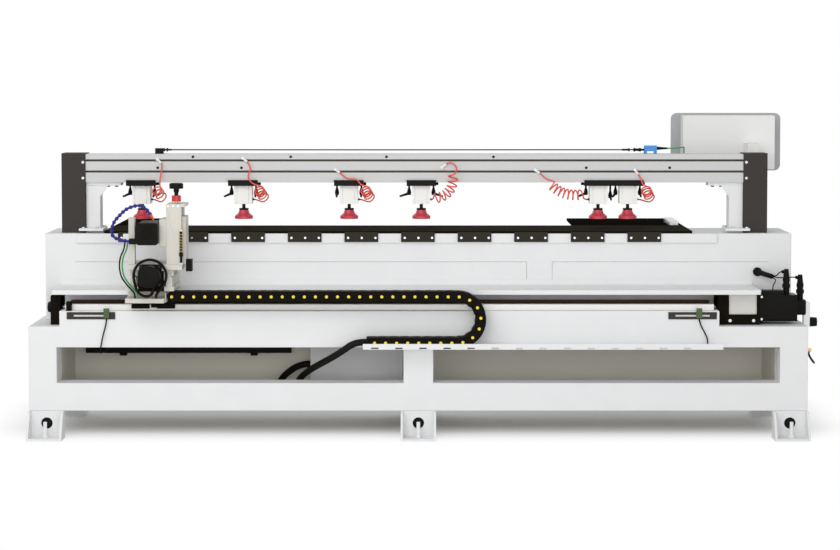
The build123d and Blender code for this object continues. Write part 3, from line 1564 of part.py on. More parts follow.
# Press units: clamp bar on the beam, air cylinder, foot and two clamp levers
press_bar_top = press_bar_bottom + press_bar_thickness
press_y = beam_middle_y
lip_front = beam_front - slide_clearance - press_lip_thickness
body_half = press_body_width / 2
washer_top = press_body_bottom - press_rod_shown
washer_bottom = washer_top - press_washer_height
foot_bottom = washer_bottom - foot_height


def clamp_lever(pivot_x, turn, extra):
    """An adjustable lever: a stud in the bar, a tapered hub and a slim arm to the front."""
    hub_top = press_bar_bottom - lever_stud_length - extra
    hub_bottom = hub_top - lever_hub_height
    arm_z = hub_bottom + lever_arm_root + 1
    angle = math.radians(turn)
    reach = (lever_arm_length * math.sin(angle), -lever_arm_length * math.cos(angle), -lever_arm_drop)
    with BuildPart() as lever:
        stud_top = press_bar_bottom + lever_stud_grip
        bar((pivot_x, press_y, hub_top), (0, 0, 1), lever_stud_radius, stud_top - hub_top)
        hub_profile = (
            (0, lever_hub_radius - 2),
            (0.4 * lever_hub_height, lever_hub_radius),
            (lever_hub_height, lever_stud_radius + 1),
        )
        faceted((pivot_x, press_y, hub_bottom), (0, 0, 1), hub_profile, 8)
        arm_profile = ((0, lever_arm_root), (Vector(*reach).length, lever_arm_tip))
        faceted((pivot_x, press_y, arm_z), reach, arm_profile, 8)
    return lever.part


for index, unit_x in enumerate(press_x):
    unit = index + 1
    port_side = port_sides[index]
    bar_span = around(unit_x, press_bar_width)
    with BuildPart() as press_bar:
        block(bar_span, (lip_front, beam_back), (press_bar_bottom, press_bar_top))
        for lever_x in (unit_x - lever_offset, unit_x + lever_offset):
            hole_start = (lever_x, press_y, press_bar_bottom)
            hole_depth = lever_stud_grip + slide_clearance
            bar(hole_start, (0, 0, 1), lever_stud_radius + running_clearance, hole_depth, Mode.SUBTRACT)
    press_lip = block_solid(
        bar_span,
        (lip_front, lip_front + press_lip_thickness),
        (press_bar_top, press_bar_top + press_lip_rise),
    )
    key_width = beam_slot_width - 2 * slide_clearance
    key_z = (press_bar_top, beam_bottom + beam_slot_depth / 2)
    press_key = block_solid(around(unit_x, press_body_width), around(press_y, key_width), key_z)
    with BuildPart() as cylinder:
        with BuildSketch(Plane.XY.offset(press_body_bottom)):
            with Locations((unit_x, press_y)):
                Rectangle(press_body_width, press_body_width)
            for groove_x in (unit_x - press_groove_offset, unit_x + press_groove_offset):
                with Locations((groove_x, press_y - body_half + press_groove_depth / 2)):
                    Rectangle(press_groove_width, press_groove_depth, mode=Mode.SUBTRACT)
        extrude(amount=press_body_height)
        rod_start = (unit_x, press_y, press_body_bottom)
        bar(rod_start, (0, 0, 1), press_rod_radius + running_clearance, press_rod_guide + 4, Mode.SUBTRACT)
    with BuildPart() as port:
        port_start = (unit_x + port_side * body_half, press_y, press_port_height)
        port_profile = ((0, press_port_radius), (press_port_length, press_port_radius))
        faceted(port_start, (port_side, 0, 0), port_profile, 8)
    with BuildPart() as thumb_screw:
        thumb_x = unit_x + port_side * press_bar_width / 2
        thumb_start = (thumb_x, press_y, (press_bar_bottom + press_bar_top) / 2)
        thumb_profile = ((0, thumb_screw_radius), (thumb_screw_length, thumb_screw_radius))
        faceted(thumb_start, (port_side, 0, 0), thumb_profile, 8)
    write_node(
        f"press_{unit}_cylinder",
        press_bar.part,
        press_lip,
        press_key,
        cylinder.part,
        port.part,
        thumb_screw.part,
    )
    with BuildPart() as rod:
        bar((unit_x, press_y, washer_top), (0, 0, 1), press_rod_radius, press_rod_shown + press_rod_guide)
    with BuildPart() as washer:
        bar((unit_x, press_y, washer_bottom), (0, 0, 1), press_washer_radius, press_washer_height)
    with BuildPart() as pad:
        pad_profile = (
            (0, foot_bottom_radius),
            (foot_rim, foot_bottom_radius),
            (0.6 * foot_height, foot_waist_radius),
            (foot_height, foot_top_radius),
        )
        turned((unit_x, press_y, foot_bottom), (0, 0, 1), pad_profile)
    write_node(f"press_{unit}_foot", rod.part, washer.part, pad.part)
    left_lever = clamp_lever(unit_x - lever_offset, -left_lever_turn[index], 0)
    right_lever = clamp_lever(unit_x + lever_offset, right_lever_turn[index], right_lever_extra[index])
    write_node(f"press_{unit}_left_lever", left_lever)
    write_node(f"press_{unit}_right_lever", right_lever)

# Spiral air hoses from fittings on the beam to the cylinders


def coil_point(axis, angle, station):
    """A point of a coil: an angle about a curved axis, at a station along it."""
    start, pull, end = axis
    back = 1 - station
    centre = start * back**2 + pull * (2 * back * station) + end * station**2
    along = ((pull - start) * back + (end - pull) * station).normalized()
    side = (coil_reference - along * coil_reference.dot(along)).normalized()
    return centre + (side * math.cos(angle) + along.cross(side) * math.sin(angle)) * coil_radius


def entry_angle(along, direction):
    """The angle at which a coil runs in a wanted direction."""
    side = (coil_reference - along * coil_reference.dot(along)).normalized()
    return math.atan2(-direction.dot(side), direction.dot(along.cross(side)))


def coil_stations(axis, turns, way_in, way_out):
    """Points and directions along a coil, two to each turn."""
    start, pull, end = axis
    first = entry_angle((pull - start).normalized(), way_in)
    last = entry_angle((end - pull).normalized(), way_out)
    sweep_angle = 2 * math.pi * turns + (last - first) % (2 * math.pi)
    steps = 2 * round(sweep_angle / (2 * math.pi)) + 1
    stations = []
    for step in range(steps + 1):
        station = step / steps
        ends = [
            coil_point(axis, first + sweep_angle * (station + nudge), station + nudge)
            for nudge in (-1e-4, 1e-4)
        ]
        spot = coil_point(axis, first + sweep_angle * station, station)
        stations.append((spot, (ends[1] - ends[0]).normalized()))
    return stations


def through(points):
    """Directions for the points between the first and the last."""
    return [
        (point, (after - before).normalized()) for before, point, after in zip(points, points[1:], points[2:])
    ]


hose_pieces = []
for unit_x, port_side, route in zip(press_x, port_sides, hose_routes):
    fitting_x, fitting_z, lead_x, lead_z, lead, axis_points, turns = route
    pointing = Vector(lead_x, 0, lead_z).normalized()
    fitting_start = Vector(fitting_x, beam_front - fitting_stub, fitting_z)
    with BuildPart() as fitting:
        fitting_profile = ((0, fitting_radius), (2 * fitting_stub, fitting_radius))
        faceted((fitting_x, beam_front, fitting_z), (0, -1, 0), fitting_profile, 8)
        faceted(fitting_start, pointing, ((0, fitting_radius - 1), (fitting_length, fitting_radius - 1)), 8)
    axis = tuple(Vector(unit_x + x, y, z) for x, y, z in axis_points)
    lead_points = [Vector(x, hose_plane, z) for x, z in lead]
    hose_start = fitting_start + pointing * fitting_length
    lead_end = hose_start + pointing * 2 * hose_radius
    into_port = Vector(-port_side, 0, 0)
    port_face = unit_x + port_side * (body_half + press_port_length + slide_clearance)
    hose_end = Vector(port_face, press_y, press_port_height)
    tail_start = hose_end - into_port * 2 * hose_radius
    coil = coil_stations(axis, turns, axis[0] - ([lead_end] + lead_points)[-1], tail_start - axis[2])
    stations = [(hose_start, pointing), (lead_end, pointing)]
    stations += through([lead_end, *lead_points, coil[0][0]])
    stations += coil
    stations += [(tail_start, into_port), (hose_end, into_port)]
    hose = swept_cord(f"air hose at {unit_x}", stations, hose_radius)
    hose_pieces += [fitting.part, hose]
write_node("press_air_hoses", *hose_pieces)

# Cables in and on the base: conduits, sensor cables, servo cables and the air inlet hose
cable_pieces = []
chain_middle_y = (chain_front + chain_back) / 2
chain_conduit = (
    (chain_fixed_x, chain_middle_y, chain_low_z),
    (-275, chain_middle_y, chain_low_z),
    (-330, -44, 388),
    (-385, -8, 350),
    (-440, 50, 314),
    (-495, 130, 272),
    (-530, 195, 232),
    (-545, 240, 190),
    (-545, 240, panel_floor),
)
cable_pieces.append(cable("chain conduit", chain_conduit, conduit_radius))
box_conduit = (
    (cabinet_left, 400, 270),
    (-540, 400, 270),
    (-610, 345, 225),
    (-630, 320, 190),
    (-630, 320, panel_floor),
)
cable_pieces.append(cable("box conduit", box_conduit, conduit_radius))
sensor_y = -switch_bar_thickness - sensor_thickness / 2
sensor_bottom = switch_bar_z + sensor_lift
left_sensor_route = (
    (left_sensor + sensor_width / 2, sensor_y, sensor_bottom),
    (left_sensor + sensor_width / 2, sensor_y, sensor_bottom - 20),
    (-1374, sensor_y - 4, 450),
    (-1384, sensor_y - 5, 396),
    (-1396, 40, 366),
    (-1406, 200, 350),
    (-1412, 380, 340),
    (-1412, duct_depth_span[0], 340),
)
cable_pieces.append(cable("left sensor cable", left_sensor_route, thin_cable_radius))
right_sensor_route = (
    (right_sensor + sensor_width / 2, sensor_y, sensor_bottom),
    (right_sensor + sensor_width / 2, sensor_y, sensor_bottom - 20),
    (1256, sensor_y - 2, 448),
    (1260, sensor_y - 2, 425),
    (1260, sensor_y - 2, tray_top),
)
cable_pieces.append(cable("right sensor cable", right_sensor_route, thin_cable_radius))
boot_start = Vector(servo_gland_x, table_front - servo_gland_length, servo_gland_z)
boot_end = boot_start + servo_boot_reach
boot_way = servo_boot_reach.normalized()
boot_side = Vector(0, 0, 1).cross(boot_way).normalized()
boot_up = boot_way.cross(boot_side)
with BuildPart() as servo_gland:
    flange_profile = ((0, servo_gland_radius), (servo_gland_length, servo_gland_radius))
    faceted((servo_gland_x, table_front, servo_gland_z), (0, -1, 0), flange_profile, 12)
    boot_profile = ((0, servo_boot_radius), (servo_boot_reach.length, servo_boot_tip))
    faceted(boot_start, servo_boot_reach, boot_profile, 12)
cable_pieces.append(servo_gland.part)
power_start = boot_end + boot_up * servo_cable_offset
power_end = power_foot + Vector(0, 0, elbow_height - elbow_radius) + power_way * elbow_stub
power_route = (power_start, power_start + boot_way * boot_lead, power_end + power_way * power_lead, power_end)
cable_pieces.append(cable("servo power cable", power_route, servo_cable_radius))
signal_start = boot_end + boot_side * servo_cable_offset
signal_lead = signal_start + boot_way * boot_lead
signal_end = signal_foot + Vector(0, 0, elbow_height - elbow_radius) + signal_way * elbow_stub
signal_turn = signal_end + signal_way * boot_lead
signal_middle = (signal_lead + signal_turn) * 0.5 + Vector(0, 3, -2)
signal_route = (signal_start, signal_lead, signal_middle, signal_turn, signal_end)
cable_pieces.append(cable("servo signal cable", signal_route, servo_cable_radius))
terminal_top = Vector(terminal_x + terminal_length / 2, screw_axis_y, servo_top + terminal_height)
brake_start = boot_end - boot_up * servo_cable_offset
brake_route = (
    brake_start,
    brake_start + boot_way * boot_lead,
    terminal_top + Vector(14, 24, 32),
    terminal_top + Vector(0, 0, 22),
    terminal_top,
)
cable_pieces.append(cable("servo brake cable", brake_route, servo_cable_radius))
inlet_start = Vector(regulator_middle_x, regulator_middle_y, valve_bottom - regulator_port_length)
inlet_route = [inlet_start] + [inlet_start + Vector(*bend) for bend in inlet_bends]
cable_pieces.append(cable("air inlet hose", inlet_route, air_hose_radius))
nipple_way = (inlet_route[-1] - inlet_route[-2]).normalized()
nipple_centre = inlet_route[-1] + nipple_way * nipple_arm
nipple_reach = nipple_centre.X - base_right + nipple_radius
with BuildPart() as nipple:
    nipple_profile = (
        (0, nipple_hex),
        (nipple_hex_length, nipple_hex),
        (nipple_hex_length, nipple_radius),
        (nipple_reach, nipple_radius),
    )
    faceted((base_right, nipple_centre.Y, nipple_centre.Z), (1, 0, 0), nipple_profile, 6)
    faceted(nipple_centre, nipple_way * -1, ((0, nipple_radius), (nipple_arm, nipple_radius)), 6)
cable_pieces.append(nipple.part)
write_node("base_cables", *cable_pieces)
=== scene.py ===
# %% [markdown]
# A side hole drilling machine: a boring head on a long axis, a clamping table, and six presses under a
# beam. Its rigid parts could be modelled again, but they exist as solids already. So the solids are loaded,
# in metres, and this lesson dresses them and adds what is too small, too thin or too soft to be a solid.

# %% Load the machine
import json
import math
from collections import namedtuple

import bmesh
import bpy
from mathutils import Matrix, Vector


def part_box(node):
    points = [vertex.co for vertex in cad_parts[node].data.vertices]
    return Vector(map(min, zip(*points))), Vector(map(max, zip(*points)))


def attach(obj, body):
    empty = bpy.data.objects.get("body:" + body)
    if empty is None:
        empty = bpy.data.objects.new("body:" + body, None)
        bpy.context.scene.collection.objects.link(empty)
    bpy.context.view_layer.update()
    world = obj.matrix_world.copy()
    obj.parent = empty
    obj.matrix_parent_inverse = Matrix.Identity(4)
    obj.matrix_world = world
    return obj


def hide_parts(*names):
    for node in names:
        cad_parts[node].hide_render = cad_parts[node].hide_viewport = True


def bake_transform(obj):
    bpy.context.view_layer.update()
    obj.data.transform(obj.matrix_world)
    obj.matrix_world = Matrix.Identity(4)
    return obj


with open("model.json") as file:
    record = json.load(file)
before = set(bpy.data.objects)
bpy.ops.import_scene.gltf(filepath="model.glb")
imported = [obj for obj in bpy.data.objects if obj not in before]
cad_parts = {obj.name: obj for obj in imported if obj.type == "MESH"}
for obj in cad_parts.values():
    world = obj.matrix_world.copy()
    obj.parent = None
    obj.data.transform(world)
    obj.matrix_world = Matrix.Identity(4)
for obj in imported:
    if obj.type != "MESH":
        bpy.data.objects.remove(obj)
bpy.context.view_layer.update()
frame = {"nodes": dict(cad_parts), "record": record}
scene = bpy.context.scene
MM = 0.001
BODIES = frame["record"]["behaviour"]["bodies"]
NODE_BODY = {node: body for body, members in BODIES.items() for node in members}
NODE_SLOT = {row["node"]: row["material_slot"] for row in frame["record"]["subparts"]}


def spot(x, y, z):
    """A point given in millimetres, as the drawings give it."""
    return Vector((x, y, z)) * MM


def add_object(name, data):
    """A new object at the origin, linked into the scene."""
    made = bpy.data.objects.new(name, data)
    scene.collection.objects.link(made)
    return made


# %% [markdown]
# The machine was photographed from straight in front, a little above the table, with a long lens. A camera
# that only tilts down would make the posts lean together. So it tilts a little, and a shift of the lens
# does the rest.

# %% Camera
IMAGE_WIDTH = 840
FOCAL_PIXELS = 2085.8
CAMERA_AT = spot(7.1, -9046, 1611)
CAMERA_TILT = 0.0504
LENS_SHIFT = -0.12
VIEW_DEPTH = 100

camera_data = bpy.data.cameras.new("camera")
camera_data.lens = camera_data.sensor_width * FOCAL_PIXELS / IMAGE_WIDTH
camera_data.shift_y = LENS_SHIFT
camera_data.clip_end = VIEW_DEPTH
camera = add_object("camera", camera_data)
camera.location = CAMERA_AT
camera.rotation_euler = (math.pi / 2 - CAMERA_TILT, 0, 0)
scene.camera = camera
print("camera tilt", round(math.degrees(CAMERA_TILT), 2), "degrees")

# %% [markdown]
# Light, materials and geometry trees are all nets of nodes. They could be clicked together in the node
# editor. In a script a net stays readable when one helper adds a node and says at once what feeds each of
# its inputs.


# %% Node helpers
def feed(tree, node, inputs):
    """Sets each input of a node to a value, or links it to the output that feeds it."""
    for key, value in inputs.items():
        if isinstance(value, bpy.types.NodeSocket):
            tree.links.new(value, node.inputs[key])
        else:
            node.inputs[key].default_value = value


def add_node(tree, kind, inputs, **settings):
    """The outputs of a new node, made with its settings and its inputs."""
    made = tree.nodes.new(kind)
    for name, value in settings.items():
        setattr(made, name, value)
    feed(tree, made, inputs)
    return made.outputs


def sum_node(tree, operation, *values):
    """The result of a small sum."""
    return add_node(tree, "ShaderNodeMath", dict(enumerate(values)), operation=operation)[0]


def add_sockets(tree, side, kinds):
    """Named inputs or outputs of a tree."""
    for name, kind in kinds.items():
        tree.interface.new_socket(name, in_out=side, socket_type="NodeSocket" + kind)


# %% [markdown]
# The photograph was taken in a pale studio: a white surround, a broad lamp from the upper left and a long
# one in front, low enough to shine into the windows of the base. Stronger light would make the background
# white, but would clip the paint too. So the light stays at a level where a colour looks as it is written,
# and the full white is given only to what looks straight at the surround.

# %% Light
scene.view_settings.view_transform = "Standard"
SURROUND_LIGHT = 0.58
LIGHT_TARGET = Vector((0, 0.2, 0.6))
LAMPS = {"key": (115, (5, 3), (-2.5, -4.5, 4.5)), "front": (95, (6, 2.2), (0, -6, 1.3))}


def seen_directly(tree):
    """One where a ray comes from the camera, a mirror or glass, and nothing where it only brings light."""
    rays = add_node(tree, "ShaderNodeLightPath", {})
    looked = sum_node(tree, "MAXIMUM", rays["Is Camera Ray"], rays["Is Glossy Ray"])
    return sum_node(tree, "MAXIMUM", looked, rays["Is Transmission Ray"])


world = bpy.data.worlds.new("studio")
scene.world = world
world.use_nodes = True
studio = world.node_tree
levels = {"Value": seen_directly(studio), "To Min": SURROUND_LIGHT, "To Max": 1}
strength = add_node(studio, "ShaderNodeMapRange", levels)[0]
feed(studio, studio.nodes["Background"], {"Color": (1, 1, 1, 1), "Strength": strength})
for name, (power, size, place) in LAMPS.items():
    lamp_data = bpy.data.lights.new(name, "AREA")
    lamp_data.shape = "RECTANGLE"
    lamp_data.size, lamp_data.size_y = size
    lamp_data.energy = power
    lamp = add_object(name, lamp_data)
    lamp.location = place
    lamp.rotation_euler = (LIGHT_TARGET - lamp.location).to_track_quat("-Z", "Y").to_euler()
    print("lamp", name, power, "W")

# %% [markdown]
# The floor of the photograph is white paper, and only the ground under the base is in shade. A plain pale
# floor would end in a grey horizon. This one shades as any floor does near the machine and fades into the
# white surround with the distance from it.

# %% Floor
FLOOR_HALF = 30
SHADE_MIDDLE = (0, 0.62)
SHADE_HALF = (1.5, 0.28)
FADE_FAR = 0.5


def new_material(name):
    """A new material, its tree and its shader."""
    made = bpy.data.materials.new(name)
    made.use_nodes = True
    return made, made.node_tree, made.node_tree.nodes["Principled BSDF"]


floor_mesh = bpy.data.meshes.new("floor")
corners = [(x * FLOOR_HALF, y * FLOOR_HALF, 0) for x, y in ((-1, -1), (1, -1), (1, 1), (-1, 1))]
floor_mesh.from_pydata(corners, [], [(0, 1, 2, 3)])
floor = add_object("floor", floor_mesh)
floor_paint, paper, paper_shader = new_material("floor_paint")
feed(paper, paper_shader, {"Base Color": (0.9, 0.9, 0.9, 1), "Roughness": 1, "Specular IOR Level": 0})
floor_place = add_node(paper, "ShaderNodeTexCoord", {})["Object"]
floor_parts = add_node(paper, "ShaderNodeSeparateXYZ", {0: floor_place})
squares = []
for axis, middle, half in zip(("X", "Y"), SHADE_MIDDLE, SHADE_HALF):
    off = sum_node(paper, "ABSOLUTE", sum_node(paper, "SUBTRACT", floor_parts[axis], middle))
    past = sum_node(paper, "MAXIMUM", sum_node(paper, "SUBTRACT", off, half), 0)
    squares.append(sum_node(paper, "MULTIPLY", past, past))
distance = sum_node(paper, "SQRT", sum_node(paper, "ADD", *squares))
fade_range = {"Value": distance, "From Min": 0, "From Max": FADE_FAR}
fade = add_node(paper, "ShaderNodeMapRange", fade_range, interpolation_type="SMOOTHSTEP")[0]
faded = sum_node(paper, "MULTIPLY", fade, seen_directly(paper))
white = add_node(paper, "ShaderNodeEmission", {})[0]
shades = {"Fac": faded, 1: paper_shader.outputs[0], 2: white}
feed(paper, paper.nodes["Material Output"], {"Surface": add_node(paper, "ShaderNodeMixShader", shades)[0]})
floor_mesh.materials.append(floor_paint)
print("floor fades over", FADE_FAR, "m")

# %% [markdown]
# Every surface of the machine is sprayed, brushed or moulded, and none is perfectly even. Each material
# could have its own noises. One shared group is easier to keep: it gives an uneven colour, an uneven gloss
# and a fine height for bumps, each at a scale given per metre.

# %% Shared surface group
NOISE_DETAIL = 3
NOISE_MIDDLE = 0.5


def surface_group():
    """Uneven colour, roughness and height from two noises on the object's own coordinates."""
    group = bpy.data.node_groups.new("surface", "ShaderNodeTree")
    amounts = ("Patch Scale", "Grain Scale", "Color Spread", "Roughness", "Gloss Spread")
    add_sockets(group, "INPUT", {"Color": "Color", **dict.fromkeys(amounts, "Float"), "Stretch": "Vector"})
    add_sockets(group, "OUTPUT", {"Color": "Color", "Roughness": "Float", "Height": "Float"})
    entry = add_node(group, "NodeGroupInput", {})
    place = {0: add_node(group, "ShaderNodeTexCoord", {})["Object"], 1: entry["Stretch"]}
    grid = {"Vector": add_node(group, "ShaderNodeVectorMath", place, operation="MULTIPLY")[0]}
    grid["Detail"] = NOISE_DETAIL
    patch = add_node(group, "ShaderNodeTexNoise", {**grid, "Scale": entry["Patch Scale"]})["Fac"]
    grain = add_node(group, "ShaderNodeTexNoise", {**grid, "Scale": entry["Grain Scale"]})["Fac"]
    centred = sum_node(group, "SUBTRACT", patch, NOISE_MIDDLE)
    level = sum_node(group, "MULTIPLY_ADD", centred, entry["Color Spread"], 1)
    gloss = sum_node(group, "MULTIPLY_ADD", centred, entry["Gloss Spread"], entry["Roughness"])
    scaled = {0: entry["Color"], "Scale": level}
    tint = add_node(group, "ShaderNodeVectorMath", scaled, operation="SCALE")[0]
    add_node(group, "NodeGroupOutput", {"Color": tint, "Roughness": gloss, "Height": grain})
    return group


SURFACE = surface_group()
print("surface group with", len(SURFACE.nodes), "nodes")

# %% [markdown]
# A finish is a colour, a roughness and a grain on that group. Brushed aluminium and ground steel have their
# grain drawn out along the part, black plastic and black paint reflect little, so their mirror level is
# low. Written as rows of one table, the finishes are easy to compare and to change.

# %% Finishes
ALONG_X = (0.04, 1, 1)
ALONG_Z = (1, 1, 0.06)
GLOSS_SPREAD = 0.12
SMOOTH_BUMP, MOULDED, SPRAYED, ROUGH_SPRAYED = 0.00003, 0.00005, 0.00006, 0.00008


def finish(name, color, roughness, metal=0, mirror=0.5, patch=9, grain=900, spread=0.06, bump=SMOOTH_BUMP,
           stretch=(1, 1, 1)):
    """A finish of the machine, built on the shared surface group."""
    made, tree, shader = new_material(name)
    values = {"Color": (*color, 1), "Roughness": roughness, "Gloss Spread": GLOSS_SPREAD, "Stretch": stretch}
    values.update({"Patch Scale": patch, "Grain Scale": grain, "Color Spread": spread})
    surface = add_node(tree, "ShaderNodeGroup", values, node_tree=SURFACE)
    relief = add_node(tree, "ShaderNodeBump", {"Height": surface["Height"], "Distance": bump})["Normal"]
    feed(tree, shader, {"Base Color": surface["Color"], "Roughness": surface["Roughness"], "Normal": relief})
    feed(tree, shader, {"Metallic": metal, "Specular IOR Level": mirror})
    return made


FINISH_ROWS = {
    "frame_paint": ((0.80, 0.805, 0.81), 0.55, dict(mirror=0.15, bump=SPRAYED)),
    "inner_paint": ((0.78, 0.75, 0.67), 0.5, dict(mirror=0.2)),
    # The control box's white is lighter than the frame's, as painted light on its face, and the plate behind
    # it is a darker grey, as painted shade on the strips beside the box.
    "box_painted_light": ((0.88, 0.88, 0.87), 0.5, dict(mirror=0.2, bump=SPRAYED)),
    "plate_painted_shade": ((0.42, 0.43, 0.44), 0.5, dict(bump=SPRAYED)),
    "black_plate": ((0.011, 0.009, 0.006), 0.5, dict(mirror=0, grain=1600, bump=MOULDED)),
    "strip_black": ((0.040, 0.036, 0.028), 0.5, dict(mirror=0, grain=1600, bump=MOULDED)),
    "cover_black": ((0.045, 0.040, 0.037), 0.6, dict(mirror=0.15, grain=1200, bump=ROUGH_SPRAYED)),
    "extrusion": ((0.60, 0.605, 0.60), 0.45, dict(mirror=0.25, grain=700, stretch=ALONG_X)),
    "steel": ((0.56, 0.57, 0.58), 0.3, dict(metal=1, grain=800, stretch=ALONG_X)),
    "rail_pale": ((0.76, 0.75, 0.73), 0.4, dict(metal=0.2, grain=800, stretch=ALONG_X)),
    "rail_brown": ((0.085, 0.055, 0.033), 0.45, dict(mirror=0.1, grain=800, stretch=ALONG_X)),
    "slot_shade": ((0.13, 0.12, 0.10), 0.6, dict(mirror=0.1, grain=700, stretch=ALONG_X)),
    "cream_aluminium": ((0.61, 0.59, 0.53), 0.42, dict(metal=0.1, mirror=0.3, grain=700, stretch=ALONG_Z)),
    "motor_black": ((0.007, 0.0065, 0.005), 0.38, dict(mirror=0.06, grain=1500, bump=SPRAYED)),
    "chain_plastic": ((0.008, 0.007, 0.005), 0.55, dict(mirror=0.03, grain=1300, bump=MOULDED)),
    "pin_yellow": ((0.86, 0.66, 0.02), 0.4, {}),
    "cable_black": ((0.008, 0.0075, 0.006), 0.5, dict(mirror=0.08, grain=1800)),
    "rope_dark": ((0.05, 0.05, 0.05), 0.5, dict(mirror=0.2, grain=1500)),
    "cable_green": ((0.02, 0.30, 0.08), 0.45, {}),
    "hose_red": ((0.80, 0.085, 0.055), 0.25, dict(patch=30)),
    "fitting_white": ((0.84, 0.84, 0.82), 0.35, {}),
    "hose_blue": ((0.022, 0.016, 0.20), 0.4, dict(mirror=0.3)),
    "nozzle_orange": ((0.72, 0.10, 0.025), 0.4, {}),
    "foot_red": ((0.56, 0.045, 0.07), 0.35, dict(patch=40)),
    "lever_black": ((0.007, 0.007, 0.006), 0.38, dict(mirror=0.08, grain=1500)),
    "cylinder_white": ((0.88, 0.87, 0.84), 0.36, dict(mirror=0.4, stretch=ALONG_Z)),
    "button_red": ((0.62, 0.02, 0.02), 0.3, {}),
    "switch_blue": ((0.03, 0.25, 0.68), 0.4, {}),
    "sensor_green": ((0.05, 0.09, 0.025), 0.45, {}),
    "window_beige": ((0.68, 0.67, 0.63), 0.5, dict(mirror=0.3)),
    "brass": ((0.62, 0.44, 0.15), 0.34, dict(metal=1)),
}
FINISH = {name: finish(name, color, rough, **more) for name, (color, rough, more) in FINISH_ROWS.items()}
print("finishes", len(FINISH))

# %% [markdown]
# A node of the machine is often several parts, such as a plate, its bolts and a sensor. Faces could be
# picked one by one to be painted. Here each separate part is found by its joined points, and a rule on its
# box, such as a size or a lowest height in millimetres, says which finish it takes.

# %% Parts and their boxes
MERGE_DISTANCE = 1e-6
Box = namedtuple("Box", "low_x low_y low_z high_x high_y high_z size_x size_y size_z")


def node_shape(node):
    """A merged copy of a node's mesh."""
    shape = bmesh.new()
    shape.from_mesh(frame["nodes"][node].data)
    bmesh.ops.remove_doubles(shape, verts=shape.verts, dist=MERGE_DISTANCE)
    return shape


def islands_of(shape):
    """The separate parts of a mesh, each as a list of its points."""
    reached = set()
    found = []
    for first in shape.verts:
        if first in reached:
            continue
        reached.add(first)
        island = [first]
        for point in island:
            joined = {edge.other_vert(point) for edge in point.link_edges} - reached
            reached |= joined
            island.extend(joined)
        found.append(island)
    return found


def box_of(points):
    """The box round some points, in millimetres."""
    low = [min(point.co[axis] for point in points) / MM for axis in range(3)]
    high = [max(point.co[axis] for point in points) / MM for axis in range(3)]
    return Box(*low, *high, *(end - start for start, end in zip(low, high)))


def middle_of(box):
    """The middle of a box."""
    return [(box[axis] + box[axis + 3]) / 2 for axis in range(3)]


def above(value):
    """The range of everything above a value."""
    return value, math.inf


def below(value):
    """The range of everything below a value."""
    return -math.inf, value


def within(**ranges):
    """A rule that accepts a box whose named measures lie in their ranges."""
    return lambda box: all(least < getattr(box, key) < most for key, (least, most) in ranges.items())


# %% [markdown]
# The base and the table are blocks welded together and ground flat, so no seam may show between them. The
# blocks could be drawn as one outline again. A union of the parts is simpler and removes the faces inside.
# Seams that do exist, between sheets, are cut with thin boxes into the finished piece, so that its edges
# keep their rounds.


# %% Welds and grooves
def plain_mesh(maker):
    """A plain mesh of an object with its modifiers worked out."""
    depsgraph = bpy.context.evaluated_depsgraph_get()
    return bpy.data.meshes.new_from_object(maker.evaluated_get(depsgraph))


def mesh_of(shape, name, materials=()):
    """A new mesh with materials from a shape, which is used up."""
    mesh = bpy.data.meshes.new(name)
    shape.to_mesh(mesh)
    shape.free()
    for material in materials:
        mesh.materials.append(material)
    return mesh


def part_of(mesh, wanted):
    """An object with only the wanted points of a mesh."""
    part = bmesh.new()
    part.from_mesh(mesh)
    rest = [point for point in part.verts if point.index not in wanted]
    bmesh.ops.delete(part, geom=rest, context="VERTS")
    return add_object("part", mesh_of(part, "part", mesh.materials))


def combine(piece, operation, **operand):
    """The plain mesh of a piece after a union or a difference."""
    change = piece.modifiers.new("combine", "BOOLEAN")
    change.operation = operation
    change.solver = "EXACT"
    for name, value in operand.items():
        setattr(change, name, value)
    return plain_mesh(piece)


def welded(mesh):
    """The mesh with its touching parts joined, and without the faces between them."""
    shape = bmesh.new()
    shape.from_mesh(mesh)
    groups = [{point.index for point in island} for island in islands_of(shape)]
    shape.free()
    first, *rest = [part_of(mesh, group) for group in groups]
    others = bpy.data.collections.new("others")
    for part in rest:
        others.objects.link(part)
    result = combine(first, "UNION", operand_type="COLLECTION", collection=others)
    for part in (first, *rest):
        bpy.data.objects.remove(part)
    bpy.data.collections.remove(others)
    return result


def box_mesh(name, boxes, materials=()):
    """A mesh of boxes, each given by its lowest and highest corner in millimetres."""
    shape = bmesh.new()
    for corner_pair in boxes:
        xs, ys, zs = zip(*corner_pair)
        corners = [shape.verts.new(spot(x, y, z)) for x in xs for y in ys for z in zs]
        bmesh.ops.convex_hull(shape, input=corners)
    bmesh.ops.recalc_face_normals(shape, faces=shape.faces)
    return mesh_of(shape, name, materials)


def cut(piece, boxes):
    """Grooves cut into a finished piece, whose edges keep their rounds."""
    cutter = add_object("cutter", box_mesh("cutter", boxes))
    before = len(piece.data.polygons)
    mesh = combine(piece, "DIFFERENCE", object=cutter)
    piece.modifiers.clear()
    piece.data = mesh
    bpy.data.objects.remove(cutter)
    print(piece.name, "faces", before, "with grooves", len(mesh.polygons))


# %% [markdown]
# Real edges are never knife sharp: a folded sheet or a milled plate has a small round that catches the
# light. The rounds could be modelled, but a bevel over all sharp edges does it at once. So each rigid piece
# is a copy of its solid, painted by its rules, cleaned to flat faces, and bevelled.

# %% Bevelled pieces
FLAT_ANGLE = math.radians(1)
BEVEL_ANGLE = math.radians(40)
SMOOTH_ANGLE = math.radians(35)
BEVEL_STEPS = 2
QUAD = 4


def settle(piece, node, rides=True):
    """A piece stands for a node, whose solid it hides, and rides on its body."""
    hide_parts(node)
    if rides:
        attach(piece, NODE_BODY[node])


